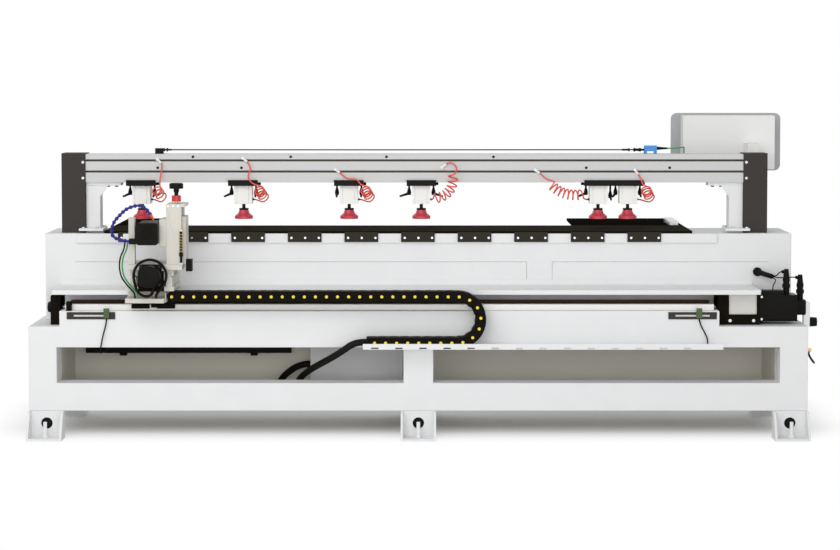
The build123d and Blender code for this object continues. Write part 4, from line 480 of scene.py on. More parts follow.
def smooth(mesh, sharp=True):
    """Smooth shading, with sharp edges where faces meet at more than a small angle."""
    mesh.polygons.foreach_set("use_smooth", [True] * len(mesh.polygons))
    if sharp:
        mesh.set_sharp_from_angle(angle=SMOOTH_ANGLE)


def round_edges(piece, width):
    """Small rounds, a given number of millimetres wide, on the sharp edges of a piece."""
    rounding = piece.modifiers.new("edges", "BEVEL")
    rounding.width = width * MM
    rounding.segments = BEVEL_STEPS
    rounding.limit_method = "ANGLE"
    rounding.angle_limit = BEVEL_ANGLE
    rounding.harden_normals = True


def flatten(shape):
    """Joins the faces that lie in one plane and have one finish."""
    everything = dict(verts=shape.verts, edges=shape.edges)
    bmesh.ops.dissolve_limit(shape, angle_limit=FLAT_ANGLE, delimit={"MATERIAL"}, **everything)


def paint(shape, default, rules, keep, face_rules):
    """Paints the parts and faces that the rules accept, and lists the finishes used."""
    used = [default]
    for island in islands_of(shape):
        box = box_of(island)
        if keep and not keep(box):
            bmesh.ops.delete(shape, geom=island, context="VERTS")
            continue
        wanted = next((name for accepts, name in rules if accepts(box)), default)
        if wanted not in used:
            used.append(wanted)
        for face in {face for point in island for face in point.link_faces}:
            face.material_index = used.index(wanted)
    for accepts, name in face_rules:
        used.append(name)
        for face in shape.faces:
            if accepts(face.calc_center_median() / MM):
                face.material_index = used.index(name)
    return used


def inset_rim(shape, index, width):
    """Leaves a finish only on round faces, inside a rim of the default finish."""
    flatten(shape)
    painted = [face for face in shape.faces if face.material_index == index]
    tops = [face for face in painted if len(face.verts) > QUAD]
    for face in set(painted) - set(tops):
        face.material_index = 0
    made = bmesh.ops.inset_individual(shape, faces=tops, thickness=width * MM)
    for face in made["faces"]:
        face.material_index = 0


def dressed(node, default, rules=(), bevel=0.8, keep=None, face_rules=(), rim=None, weld=False, rides=True,
            split_y=None):
    """A bevelled copy of a node, painted by rules for its parts and its faces."""
    shape = node_shape(node)
    if split_y:
        everything = [*shape.verts, *shape.edges, *shape.faces]
        bmesh.ops.bisect_plane(shape, geom=everything, plane_co=spot(0, split_y, 0), plane_no=(0, 1, 0))
    used = paint(shape, default, rules, keep, face_rules)
    if rim:
        name, width = rim
        inset_rim(shape, used.index(name), width)
    mesh = mesh_of(shape, node + "_skin", [FINISH[name] for name in used])
    if weld:
        mesh = welded(mesh)
    clean = bmesh.new()
    clean.from_mesh(mesh)
    bmesh.ops.remove_doubles(clean, verts=clean.verts, dist=MERGE_DISTANCE)
    flatten(clean)
    clean.to_mesh(mesh)
    clean.free()
    smooth(mesh)
    piece = add_object(node + "_skin", mesh)
    if bevel:
        round_edges(piece, bevel)
    settle(piece, node, rides)
    return piece


print("edges above", round(math.degrees(BEVEL_ANGLE)), "degrees get rounds")

# %% [markdown]
# The base is a welded frame, and the table on it a sheet cabinet with narrow seams between its front
# sheets. Each is welded into one skin first, with a wider round on the frame than on the sheet. The seams
# are deeper than they are wide, because light would fill a shallow groove and hide it.

# %% Base and table
TABLE_FRONT = 248
SEAM_Z = 750
SEAM_LOW = 672
SEAM_HALF = 0.8
SEAM_DEPTH = 8
SEAM_RUNS = ((-1537, 483), (599, 1562))
SEAM_SIDES = (484, 598)
OVERCUT = 1
dressed("base_frame", "frame_paint", bevel=3, weld=True)
dressed("levelling_feet", "frame_paint", bevel=1.5)
table = dressed("table_body", "frame_paint", bevel=2, weld=True)
seam_front, seam_back = TABLE_FRONT - OVERCUT, TABLE_FRONT + SEAM_DEPTH
seams = [((x0, seam_front, SEAM_Z - SEAM_HALF), (x1, seam_back, SEAM_Z + SEAM_HALF)) for x0, x1 in SEAM_RUNS]
seam_top = SEAM_Z - 2 * SEAM_HALF
seams += [((x - SEAM_HALF, seam_front, SEAM_LOW), (x + SEAM_HALF, seam_back, seam_top)) for x in SEAM_SIDES]
cut(table, seams)

# %% [markdown]
# A shelf covers the drag chain, and the chain's lower run lies in a sheet tray with a front lip. The lip
# could get a mesh of its own, but it is a separate part of the tray already, so its points are only lifted
# until it hides the lower half of the chain's pins.

# %% Shelf and chain tray
LIP_THICKNESS = 3.5
LIP_RISE = 9
dressed("shelf_cover", "frame_paint", bevel=0.8, weld=True)
chain_anchor = (within(size_x=below(50)), "chain_plastic")
tray = dressed("chain_tray", "frame_paint", (chain_anchor,), bevel=0.6)
tray_shape = bmesh.new()
tray_shape.from_mesh(tray.data)
for island in islands_of(tray_shape):
    if box_of(island).size_y < LIP_THICKNESS:
        bmesh.ops.translate(tray_shape, verts=island, vec=spot(0, 0, LIP_RISE))
tray_shape.to_mesh(tray.data)
tray_shape.free()
print("tray lip lifted by", LIP_RISE, "mm")

# %% [markdown]
# The table top is one black plate. In the photograph its front strip is a little lighter than the wings
# behind. Two plates would show a joint, so the top is one mesh, split along the line where the tone changes
# and painted on each side of it.

# %% Table top and fence
WINGS_FROM = 572
EDGE_MARGIN = 0.5
side_stop = (within(size_y=above(200), size_x=below(45)), "steel")
strip = (lambda middle: TABLE_FRONT + EDGE_MARGIN < middle.y < WINGS_FROM, "strip_black")
dressed("table_top", "black_plate", (side_stop,), bevel=1, face_rules=(strip,), weld=True, split_y=WINGS_FROM)
dressed("fence_plates", "strip_black")
print("table top changes tone", WINGS_FROM - TABLE_FRONT, "mm behind its front")

# %% [markdown]
# The gantry's beam is an aluminium extrusion with slots along its front and its back. In the photograph the
# slots are dark, as little light gets into them. Light bounces too freely in a small bright slot, so the
# faces inside the slots get a darker finish of their own.

# %% Beam
BEAM_FACES = (290, 390)
SLOT_LEVELS = (1152, 1202)
SLOT_HALF = 5
SLOT_DEPTH = 12


def in_slot(middle):
    """Whether a face of the beam lies inside one of the slots along its front or its back."""
    behind = min(middle.y - BEAM_FACES[0], BEAM_FACES[1] - middle.y)
    near = min(abs(middle.z - level) for level in SLOT_LEVELS)
    return EDGE_MARGIN < behind < SLOT_DEPTH + EDGE_MARGIN and near < SLOT_HALF


dressed("gantry_beam", "extrusion", face_rules=((in_slot, "slot_shade"),))
print("beam with", len(SLOT_LEVELS), "slots on each side")

# %% [markdown]
# Inside the base stand a cream back sheet, a white cabinet and a black cable duct. They share a node, so
# rules on their sizes tell them apart. The ledge in the left back sheet shows only as a shadow line. A step
# could be modelled, but a shallow groove gives the same line.

# %% Sheets of the base
PANEL_FRONT = 477
LEDGE_X = (-1520, -582)
LEDGE_Z = 284
LEDGE_HALF = 1.5
LEDGE_DEPTH = 1.5
cabinet = (within(size_x=(400, 440)), "frame_paint")
duct = (within(size_y=below(45), low_z=above(290)), "cable_black")
panels = dressed("base_panels", "inner_paint", (cabinet, duct))
ledge_low = (LEDGE_X[0], PANEL_FRONT - OVERCUT, LEDGE_Z - LEDGE_HALF)
ledge_high = (LEDGE_X[1], PANEL_FRONT + LEDGE_DEPTH, LEDGE_Z + LEDGE_HALF)
cut(panels, [(ledge_low, ledge_high)])

# %% [markdown]
# Two painted posts carry the beam. Each has a black cover and stands on a flange plate screwed to the
# table. The flanges are plain plates, so boxes with the same bevel as the other pieces are enough for them.

# %% Posts
FLANGE_X = ((-1518, -1408), (1373, 1483))
FLANGE_Y = (252, 381)
FLANGE_Z = (888, 899)
FLANGE_ROUND = 1.5
post_cover = (within(size_z=above(300), size_x=above(100)), "cover_black")
bolt = (within(size_z=below(8)), "lever_black")
dressed("gantry_columns", "frame_paint", (post_cover, bolt))
flange_boxes = [tuple(zip(span, FLANGE_Y, FLANGE_Z)) for span in FLANGE_X]
flanges = add_object("post_flanges", box_mesh("post_flanges", flange_boxes, [FINISH["frame_paint"]]))
round_edges(flanges, FLANGE_ROUND)
settle(flanges, "gantry_columns")
print("post flanges", len(flange_boxes))

# %% [markdown]
# Small fittings sit around the base: two limit switches with green sensors, the control box with its stop
# button, and the air regulator with its knob. Finer detail would not show at their size, so a finish and a
# small round on each part are enough.

# %% Fittings of the base
sensor = (within(size_x=below(30)), "sensor_green")
dressed("limit_switches", "cover_black", (sensor,), bevel=0.4)
# The plate behind the box takes a darker grey and the box a lighter white than the frame: painted shade on
# the strips beside the box, painted light on its face.
back_panel = (within(high_y=above(760)), "plate_painted_shade")
dressed("control_box", "box_painted_light", (back_panel,), bevel=3)
dressed("estop_button", "button_red", bevel=0.5)
port = (within(high_z=below(460)), "switch_blue")
dressed("air_regulator", "steel", (port,))
dressed("regulator_knob", "lever_black", bevel=0.5)
print("fittings of the base dressed")

# %% [markdown]
# The X axis: a pale ground rail in front, a dark one behind, a ball screw with a hand knob at its left end,
# and a servo motor behind a bracket with a closed window. The knob is one part with the screw, so it can't
# be told apart by its box. A rule on the middle of each face paints it instead.

# %% X axis
HAND_KNOB_X = -1616
front_rail = (within(low_y=below(100)), "rail_pale")
dressed("x_rails", "rail_brown", (front_rail,), bevel=1.5)
window = (within(size_y=below(5)), "window_beige")
dressed("screw_brackets", "black_plate", (window,), bevel=1.2)
dressed("x_servo_motor", "motor_black", bevel=1.2)
hand_knob = (lambda middle: middle.x < HAND_KNOB_X, "lever_black")
dressed("x_ball_screw", "steel", bevel=0.5, face_rules=(hand_knob,))
print("X axis dressed")

# %% [markdown]
# The boring head is a cream aluminium column with a black motor, and a knob above a red collar sets its
# height. Many small parts share its nodes: guide blocks, a servo plate, a junction box, a valve and a stop
# rod. Each is found by where it lies, because several of them have nearly the same size.

# %% Boring head
COLLAR_Z = 1031
KNOB_Z = 1064
guide_block = (within(high_z=below(605), low_z=below(580)), "black_plate")
servo_plate = (within(high_y=below(-99), size_y=below(20), low_z=above(650)), "black_plate")
dressed("carriage", "cream_aluminium", (guide_block, servo_plate))
dressed("y_servo_motor", "motor_black", bevel=1)
dressed("y_feed_screw", "steel", bevel=0.5)
junction = (within(high_x=below(-1247.5), low_z=above(860)), "fitting_white")
valve = (within(low_x=above(-1006), high_z=below(800)), "motor_black")
stop_rod = (within(size_x=below(22), size_y=below(22), size_z=above(100)), "lever_black")
dressed("y_slide", "cream_aluminium", (junction, valve, stop_rod))
collar = (lambda middle: COLLAR_Z < middle.z <= KNOB_Z, "button_red")
knob = (lambda middle: middle.z > KNOB_Z, "lever_black")
dressed("height_screw", "steel", bevel=0.4, face_rules=(collar, knob))
carrier_arm = (within(high_x=above(-1095)), "cream_aluminium")
dressed("spindle_carrier", "black_plate", (carrier_arm,))
dressed("spindle_motor", "motor_black", bevel=1.5)
dressed("drill_bit", "steel", bevel=0.3)
print("boring head dressed")

# %% [markdown]
# Six presses hang from the beam, each a white cylinder on a black bar, a red rubber foot and two clamp
# levers. One press could be dressed and copied. But each is a set of nodes with joints of its own, so a
# loop dresses all six.

# %% Presses
PRESSES = 6
cylinder = (within(size_z=above(70)), "cylinder_white")
bell = (within(size_x=above(60)), "foot_red")
for unit in range(1, PRESSES + 1):
    dressed(f"press_{unit}_cylinder", "lever_black", (cylinder,), bevel=0.6)
    dressed(f"press_{unit}_foot", "lever_black", (bell,), bevel=1)
    for side in ("left", "right"):
        dressed(f"press_{unit}_{side}_lever", "lever_black", bevel=0.4)

# %% [markdown]
# The rest of the machine has parts that repeat: crossbars, beads, turns of a spring, screws. Copies could
# be placed by hand, but a geometry tree keeps them equal and lets a count or a radius be an input with a
# name. Each tree here ends in real geometry with its finish, and what it makes is kept as a plain mesh.


# %% Geometry tree helpers
def geometry_tree(name, inputs):
    """A geometry tree with named inputs, and its input sockets."""
    tree = bpy.data.node_groups.new(name, "GeometryNodeTree")
    add_sockets(tree, "INPUT", {"Geometry": "Geometry", **inputs, "Finish": "Material"})
    add_sockets(tree, "OUTPUT", {"Geometry": "Geometry"})
    return tree, add_node(tree, "NodeGroupInput", {})


def close_tree(tree, entry, geometry):
    """The tree, ended in real geometry with its finish."""
    real = add_node(tree, "GeometryNodeRealizeInstances", {"Geometry": geometry})["Geometry"]
    coat = {"Geometry": real, "Material": entry["Finish"]}
    painted = add_node(tree, "GeometryNodeSetMaterial", coat)["Geometry"]
    add_node(tree, "NodeGroupOutput", {"Geometry": painted})
    return tree


def strung(tree, entry, unit, **turning):
    """Equal copies of a unit along the tree's line, each turned with the line, and the line."""
    line = add_node(tree, "GeometryNodeMeshToCurve", {"Mesh": entry["Geometry"]})["Curve"]
    steps = {"Curve": line, "Count": entry["Count"]}
    stations = add_node(tree, "GeometryNodeCurveToPoints", steps, mode="COUNT")
    turn = add_node(tree, "FunctionNodeAlignRotationToVector", {"Vector": stations["Tangent"]}, **turning)
    places = {"Points": stations["Points"], "Instance": unit, "Rotation": turn["Rotation"]}
    return add_node(tree, "GeometryNodeInstanceOnPoints", places)["Instances"], line


def round_bar(tree, line, radius, sides):
    """A closed round bar along a line."""
    circle = {"Resolution": sides, "Radius": radius}
    profile = add_node(tree, "GeometryNodeCurvePrimitiveCircle", circle)["Curve"]
    swept = {"Curve": line, "Profile Curve": profile, "Fill Caps": True}
    return add_node(tree, "GeometryNodeCurveToMesh", swept)["Mesh"]


def grown(name, data, tree, finish_name, values):
    """An object with the plain mesh that a tree makes from some data and values."""
    maker = add_object(name + "_maker", data)
    modifier = maker.modifiers.new("maker", "NODES")
    modifier.node_group = tree
    values = {**values, "Finish": FINISH[finish_name]}
    for item in tree.interface.items_tree:
        if item.in_out == "INPUT" and item.name in values:
            modifier[item.identifier] = values[item.name]
    mesh = plain_mesh(maker)
    bpy.data.objects.remove(maker)
    smooth(mesh)
    return add_object(name, mesh)


def line_mesh(name, points, joined=True):
    """A mesh of points given in millimetres, joined into a line or loose."""
    data = bpy.data.meshes.new(name)
    edges = [(i, i + 1) for i in range(len(points) - 1)] if joined else []
    data.from_pydata([Vector(point) * MM for point in points], edges, [])
    return data


# %% [markdown]
# The drag chain folds on itself: the lower run lies in its tray, the upper run travels with the head. The
# fold moves at half the head's speed. Links that roll round the fold would need a joint each. Here each
# straight run is baked into its place and rides on no body.

# %% Drag chain
CHAIN_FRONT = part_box("chain_upper_run")[0].y / MM
CHAIN_BEND_X = 170
PIN_DEPTH = 1
PIN_RIM = 1.6


def blend_run(run, node):
    """Bakes the placement of a straight run of the chain into its mesh; both runs are treated alike."""
    if node == "chain_upper_run":
        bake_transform(run)
    else:
        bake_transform(run)


pin = (lambda middle: middle.y < CHAIN_FRONT + PIN_DEPTH, "pin_yellow")
with_pins = dict(face_rules=(pin,), rim=("pin_yellow", PIN_RIM))
dressed("chain_bend", "chain_plastic", bevel=0, **with_pins)
for node, more in (("chain_upper_run", with_pins), ("chain_lower_run", {})):
    blend_run(dressed(node, "chain_plastic", bevel=0, rides=False, **more), node)
print("drag chain dressed")

# %% [markdown]
# Between the side plates of the links the chain is closed by crossbars, so that from the front it is one
# black band. They could be drawn link by link. As they are equal and follow the chain's line, a tree sets
# them along it, a little behind the side plates.

# %% Crossbars of the chain
CHAIN_PITCH = 47.75
CHAIN_HEIGHT = 46
CHAIN_BEND_Z = 528
CHAIN_BEND_RADIUS = 100.5
CHAIN_MIDDLE_Y = -48
CROSSBAR_DEPTH = 62.4
CROSSBAR_HEIGHT = CHAIN_HEIGHT - 1
CROSSBAR_GAP = 1.2
ARC_STEPS = 32
BEND_BARS = 17
BEND_LEAD = 36
BEND_BAR_WIDTH = 25


def crossbar_tree():
    """Equal blocks along a line, each turned with the line about the Y axis."""
    tree, entry = geometry_tree("crossbars", {"Count": "Int", "Block": "Vector"})
    block = add_node(tree, "GeometryNodeMeshCube", {"Size": entry["Block"]})["Mesh"]
    bars = strung(tree, entry, block, axis="X", pivot_axis="Y")[0]
    return close_tree(tree, entry, bars)


CROSSBARS = crossbar_tree()


def crossbars(name, points, count, width, node):
    """The crossbars of one stretch of the chain, along a line of x and z in millimetres."""
    size = (width * MM, CROSSBAR_DEPTH * MM, CROSSBAR_HEIGHT * MM)
    line = line_mesh(name, [(x, CHAIN_MIDDLE_Y, z) for x, z in points])
    bars = grown(name, line, CROSSBARS, "chain_plastic", {"Count": count, "Block": size})
    settle(bars, node, rides=False)
    print(name, count)
    return bars


for node, height in (("chain_upper_run", CHAIN_BEND_RADIUS), ("chain_lower_run", -CHAIN_BEND_RADIUS)):
    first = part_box(node)[0].x / MM + CHAIN_HEIGHT / 2
    count = int((CHAIN_BEND_X - first) / CHAIN_PITCH)
    last = first + count * CHAIN_PITCH
    if node == "chain_lower_run":
        first -= CHAIN_PITCH
        count += 1
    ends = [(x, CHAIN_BEND_Z + height) for x in (first + CHAIN_PITCH / 2, last - CHAIN_PITCH / 2)]
    blend_run(crossbars(node + "_bars", ends, count, CHAIN_PITCH - CROSSBAR_GAP, node), node)
bend_line = [(CHAIN_BEND_X - BEND_LEAD, CHAIN_BEND_Z + CHAIN_BEND_RADIUS)]
for step in range(ARC_STEPS + 1):
    angle = math.pi * step / ARC_STEPS
    bend_x = CHAIN_BEND_X + CHAIN_BEND_RADIUS * math.sin(angle)
    bend_line.append((bend_x, CHAIN_BEND_Z + CHAIN_BEND_RADIUS * math.cos(angle)))
bend_bars = crossbars("chain_bend_bars", bend_line, BEND_BARS, BEND_BAR_WIDTH, "chain_bend")
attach(bend_bars, NODE_BODY["chain_bend"])

# %% [markdown]
# Cables and hoses are soft: they hang in smooth bends between their two ends. A chain of cylinders would
# show a kink at every point of the route. So the points steer a smooth line, and a round tube along it is
# kept as a mesh.

# %% Cord helpers
LINE_STEPS = 6
LINE_ORDER = 3
TUBE_ROUNDING = 3


def smooth_line(name, points):
    """A smooth open line with the route's points, in millimetres, as its control points."""
    data = bpy.data.curves.new(name, "CURVE")
    data.dimensions = "3D"
    data.resolution_u = LINE_STEPS
    line = data.splines.new("NURBS")
    line.points.add(len(points) - 1)
    for control, point in zip(line.points, points):
        control.co = (*(Vector(point) * MM), 1)
    line.order_u = LINE_ORDER
    line.use_endpoint_u = True
    return data


def line_points(name, points):
    """Points read from a smooth line."""
    line = add_object(name, smooth_line(name, points))
    followed = [point.co.copy() for point in plain_mesh(line).vertices]
    bpy.data.objects.remove(line)
    return followed


def drawn_length(path):
    """The length of a line of points, in whole millimetres."""
    return round(sum((after - before).length for before, after in zip(path, path[1:])) / MM)


def tube(name, points, radius, finish_name):
    """A round tube along a smooth line, as a mesh."""
    data = smooth_line(name, points)
    data.bevel_depth = radius * MM
    data.bevel_resolution = TUBE_ROUNDING
    data.use_fill_caps = True
    line = add_object(name + "_line", data)
    mesh = plain_mesh(line)
    bpy.data.objects.remove(line)
    mesh.materials.clear()
    mesh.materials.append(FINISH[finish_name])
    smooth(mesh, sharp=False)
    return add_object(name, mesh)


def cord(name, points, radius, length, finish_name, node, rides=True):
    """A cord of a given length in millimetres, with both ends in the machine."""
    path = line_points(name + "_points", points)
    piece = tube(name, points, radius, finish_name)
    settle(piece, node, rides)
    print(name, length, "mm, drawn", drawn_length(path))
    return piece


# %% [markdown]
# Each press gets its air through a red spiral hose from a fitting on the beam. A spiral could be drawn by
# hand, but a formula winds it evenly about a bent axis, and starts and ends it so that it runs on into its
# straight leads.

# %% Spiral air hoses
HOSE_RADIUS = 3.2
HOSE_PLANE = 270
COIL_RADIUS = 21
COIL_REFERENCE = Vector((0.3, -0.5, 0.8))
FITTING_STUB = 6
FITTING_LENGTH = 24
PRESS_Y = 340
PORT_HEIGHT = 1024
PORT_REACH = 47.3
POINTS_PER_TURN = 14
FULL_TURN = 2 * math.pi
SIDE_COIL = ((74, 256, 1072), (80, 275, 1062), (97, 298, 1030))
HANGING_COIL = ((142, 262, 1142), (147, 262, 1044), (62, 272, 1034))
STRETCHED_COIL = ((-216, 266, 1094), (-160, 266, 1036), (-75, 283, 1050))
# Each row: the press's x, the side of its port, the hose's length, the fitting and the way it points,
# the points of the lead, all as x and z, the coil's axis and its turns.
HOSES = (
    (-1244, 1, 648, (-1169, 1207), (0.7, -0.7), ((-1149, 1150), (-1158, 1108)), SIDE_COIL, 3),
    (-787, 1, 838, (-786, 1212), (0.75, -0.65), ((-748, 1164), (-766, 1128), (-742, 1096)), SIDE_COIL, 4),
    (-312, 1, 832, (-372, 1162), (0.8, -0.6), ((-318, 1118), (-276, 1122), (-258, 1092)), SIDE_COIL, 4),
    (13, 1, 1054, (105, 1171), (0.8, 0.6), ((152, 1194), (174, 1168)), HANGING_COIL, 6),
    (809.5, -1, 1155, (523, 1160), (0.8, -0.6), ((570, 1120),), STRETCHED_COIL, 7),
    (943, 1, 755, (969, 1160), (0.6, -0.8), ((996, 1118), (1004, 1092)), SIDE_COIL, 4),
)


def coil_side(along):
    """A steady direction square to the coil's axis."""
    return (COIL_REFERENCE - along * COIL_REFERENCE.dot(along)).normalized()


def coil_angle(along, way):
    """The angle at which a coil runs in a wanted direction."""
    side = coil_side(along)
    return math.atan2(-way.dot(side), way.dot(along.cross(side)))


def coil(axis, turns, way_in, way_out):
    """Points of a coil about a curved axis."""
    start, pull, end = axis
    first = coil_angle((pull - start).normalized(), way_in)
    last = coil_angle((end - pull).normalized(), way_out)
    sweep = FULL_TURN * turns + (last - first) % FULL_TURN
    steps = round(sweep / FULL_TURN * POINTS_PER_TURN)
    widened = COIL_RADIUS / math.cos(math.pi / POINTS_PER_TURN)
    points = []
    for step in range(steps + 1):
        share = step / steps
        centre = start * (1 - share) ** 2 + pull * (2 * share * (1 - share)) + end * share**2
        along = ((pull - start) * (1 - share) + (end - pull) * share).normalized()
        side = coil_side(along)
        angle = first + sweep * share
        points.append(centre + (side * math.cos(angle) + along.cross(side) * math.sin(angle)) * widened)
    return points


for unit, (unit_x, port_side, length, fitting, way, lead, axis_points, turns) in enumerate(HOSES, 1):
    pointing = Vector((way[0], 0, way[1])).normalized()
    hose_start = Vector((fitting[0], BEAM_FACES[0] - FITTING_STUB, fitting[1])) + pointing * FITTING_LENGTH
    lead_end = hose_start + pointing * 2 * HOSE_RADIUS
    lead_points = [Vector((x, HOSE_PLANE, z)) for x, z in lead]
    axis = [Vector((unit_x + x, y, z)) for x, y, z in axis_points]
    hose_end = Vector((unit_x + port_side * PORT_REACH, PRESS_Y, PORT_HEIGHT))
    tail = hose_end + Vector((port_side, 0, 0)) * 2 * HOSE_RADIUS
    winding = coil(axis, turns, axis[0] - lead_points[-1], tail - axis[2])
    points = [hose_start, lead_end, *lead_points, *winding, tail, hose_end]
    name = f"press_{unit}_hose"
    hose = cord(name, points, HOSE_RADIUS, length, "hose_red", "press_air_hoses", rides=False)
    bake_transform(hose)
small = within(size_x=below(50), size_y=below(50), size_z=below(50))
dressed("press_air_hoses", "fitting_white", bevel=0.3, keep=small)

# %% [markdown]
# Cables of the base: two conduits into its floor, the leads of the two sensors, the three leads of the X
# servo out of one rubber boot, and the air hose from the regulator to its brass elbow. Each has a route of
# its own, so their points stand in a table, and one loop draws them all.

# %% Cables of the base
CHAIN_CONDUIT = (
    (-235, -48, 427.5), (-275, -48, 427.5), (-330, -44, 388), (-385, -8, 350), (-440, 50, 314),
    (-495, 130, 272), (-530, 195, 232), (-545, 240, 190), (-545, 240, 123),
)
BOX_CONDUIT = ((-490, 400, 270), (-540, 400, 270), (-610, 345, 225), (-630, 320, 190), (-630, 320, 123))
LEFT_LEAD = (
    (-1358, -8.5, 527), (-1358, -8.5, 507), (-1374, -12.5, 450), (-1384, -13.5, 396), (-1396, 40, 366),
    (-1406, 200, 350), (-1412, 380, 340), (-1412, 437, 340),
)
RIGHT_LEAD = (
    (1223, -8.5, 527), (1223, -8.5, 507), (1256, -10.5, 448), (1260, -10.5, 425), (1260, -10.5, 402.5),
)
POWER_LEAD = ((1572.8, 184.3, 694.9), (1587.4, 171.3, 690.8), (1599.9, 153.7, 716), (1608.9, 141.7, 716))
SIGNAL_LEAD = (
    (1575.3, 188.7, 690), (1589.9, 175.7, 685.9), (1623.9, 169.7, 686.5), (1657.9, 157.7, 691),
    (1669.9, 141.7, 691),
)
BRAKE_LEAD = (
    (1571.2, 185.7, 685.1), (1585.8, 172.6, 681), (1578.3, 146.5, 668), (1564.3, 122.5, 658),
    (1564.3, 122.5, 636),
)
AIR_INLET = (
    (1742.5, 287, 430), (1742.5, 287, 398), (1746, 281, 362), (1753, 268, 332), (1760, 243, 314),
    (1764, 212, 306), (1762, 180, 304), (1752, 150, 311), (1739, 122, 325), (1725, 99, 343),
    (1717, 82, 359), (1717, 66, 372),
)
CONDUIT_RADIUS, SENSOR_LEAD_RADIUS, SERVO_LEAD_RADIUS, AIR_HOSE_RADIUS = 15, 3, 2.5, 4
BASE_CORDS = {
    "chain_conduit": (CHAIN_CONDUIT, CONDUIT_RADIUS, 585),
    "box_conduit": (BOX_CONDUIT, CONDUIT_RADIUS, 259),
    "left_sensor_lead": (LEFT_LEAD, SENSOR_LEAD_RADIUS, 589),
    "right_sensor_lead": (RIGHT_LEAD, SENSOR_LEAD_RADIUS, 133),
    "servo_power_lead": (POWER_LEAD, SERVO_LEAD_RADIUS, 66),
    "servo_signal_lead": (SIGNAL_LEAD, SERVO_LEAD_RADIUS, 110),
    "servo_brake_lead": (BRAKE_LEAD, SERVO_LEAD_RADIUS, 97),
    "air_inlet_hose": (AIR_INLET, AIR_HOSE_RADIUS, 340),
}
for name, (points, radius, length) in BASE_CORDS.items():
    cord(name, points, radius, length, "cable_black", "base_cables")
boot = within(low_x=above(1490), high_x=below(1600), low_y=above(150), high_y=above(247))
elbow = within(low_x=above(1699), high_y=below(100))
dressed("base_cables", "cable_black", ((elbow, "brass"),), bevel=0.6,
        keep=lambda box: elbow(box) or boot(box))

# %% [markdown]
# On the head, two leads hang from the junction box to the carriage, and the thick servo cable makes one
# loop round the motor. The leads have ends on two bodies; here they are baked into their place and ride on
# no body. The loop stays on the carriage, and its round part is an arc worked out from the motor's middle.

# %% Cables of the head
HEAD_LEAD_RADIUS = 3.5
HEAD_LEAD_LENGTH = 283
HEAD_LEADS = ((-6, "cable_black"), (6, "cable_green"))
HEAD_LEAD = (
    (-1260, -70, 871.7), (-1261, -70, 840), (-1280, -78, 802), (-1283, -94, 762), (-1272, -114, 718),
    (-1250, -121, 690), (-1228, -121, 664), (-1213, -107, 646), (-1213, -107, 624),
)
for index, (offset, color) in enumerate(HEAD_LEADS, 1):
    points = [(x + offset, y, z) for x, y, z in HEAD_LEAD]
    name = f"head_lead_{index}"
    head_lead = cord(name, points, HEAD_LEAD_RADIUS, HEAD_LEAD_LENGTH, color, "head_cables", rides=False)
    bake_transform(head_lead)

LOOP_RADIUS = 70
LOOP_CABLE_RADIUS = 6
LOOP_LENGTH = 489
LOOP_Y = -144
MOTOR_X, MOTOR_Z = -1150, 725
LOOP_STEPS = 12
LOOP_FROM, LOOP_TO = math.radians(200), math.radians(-45)
LOOP_ENTRY = ((14, -48), (14, -72), (-6, -90), (-38, -84), (-60, -58))
LOOP_EXIT = ((36, -143, -66), (26, -136, -82), (22, -122, -93), (22, -104, -97))
loop_points = [(x, LOOP_Y, z) for x, z in LOOP_ENTRY]
loop_reach = LOOP_RADIUS / math.cos((LOOP_FROM - LOOP_TO) / LOOP_STEPS / 2)
for step in range(LOOP_STEPS + 1):
    angle = LOOP_FROM + (LOOP_TO - LOOP_FROM) * step / LOOP_STEPS
    loop_points.append((loop_reach * math.cos(angle), LOOP_Y, loop_reach * math.sin(angle)))
loop_points += LOOP_EXIT
loop_points = [(x + MOTOR_X, y, z + MOTOR_Z) for x, y, z in loop_points]
cord("y_servo_cable", loop_points, LOOP_CABLE_RADIUS, LOOP_LENGTH, "cable_black", "head_cables")

# %% [markdown]
# The pull cord along the beam stops the machine: a taut dark rope between an eye and a blue switch, whose
# green wire runs down behind the beam. A straight cylinder would do for the rope, but it is drawn as a cord
# like the others, with a very small sag, and the switch and its bracket keep their solid shape.

# %% Pull cord
ROPE_RADIUS = 3
ROPE_LENGTH = 2064
WIRE_LENGTH = 225
ROPE_START, ROPE_END = (-1147, 340, 1248), (917, 340, 1248)
ROPE = (ROPE_START, (-460, 340, 1247.5), (230, 340, 1247.5), ROPE_END)
SWITCH_WIRE = (
    (1122, 340, 1254.5), (1160, 340, 1254.5), (1200, 362, 1258.5), (1206, 425, 1256.5), (1206, 425, 1202),
    (1206, 378, 1202),
)
cord("pull_rope", ROPE, ROPE_RADIUS, ROPE_LENGTH, "rope_dark", "pull_cord_switch")
cord("switch_wire", SWITCH_WIRE, ROPE_RADIUS, WIRE_LENGTH, "cable_green", "pull_cord_switch")
rope_part = within(size_x=above(1000))
wire_part = within(low_x=above(1100), high_y=above(390))
switch = (within(low_x=(1000, 1060)), "switch_blue")
dressed("pull_cord_switch", "lever_black", (switch,), bevel=0.6,
        keep=lambda box: not (rope_part(box) or wire_part(box)))

# %% [markdown]
# The blow-off hose is a row of moulded ball joints, stiff enough to stay where it is bent. A plain tube
# would have no joints. So a tree lays a core along the hose's smooth line and threads equal beads on it.

# %% Blow-off hose
NOZZLE_Y = -125
NOZZLE_HOSE = (
    (-1239, 872.5), (-1277, 876), (-1312, 892), (-1316, 920), (-1307, 955), (-1282, 983), (-1256, 1009),
    (-1230, 1021), (-1200, 1028), (-1178, 1021), (-1158, 1003), (-1150, 990),
)
NOZZLE_BEADS = 18
BEAD_RADIUS = 8.5
BEAD_CORE = 5
BEAD_SIDES = 14
BEAD_RINGS = 9


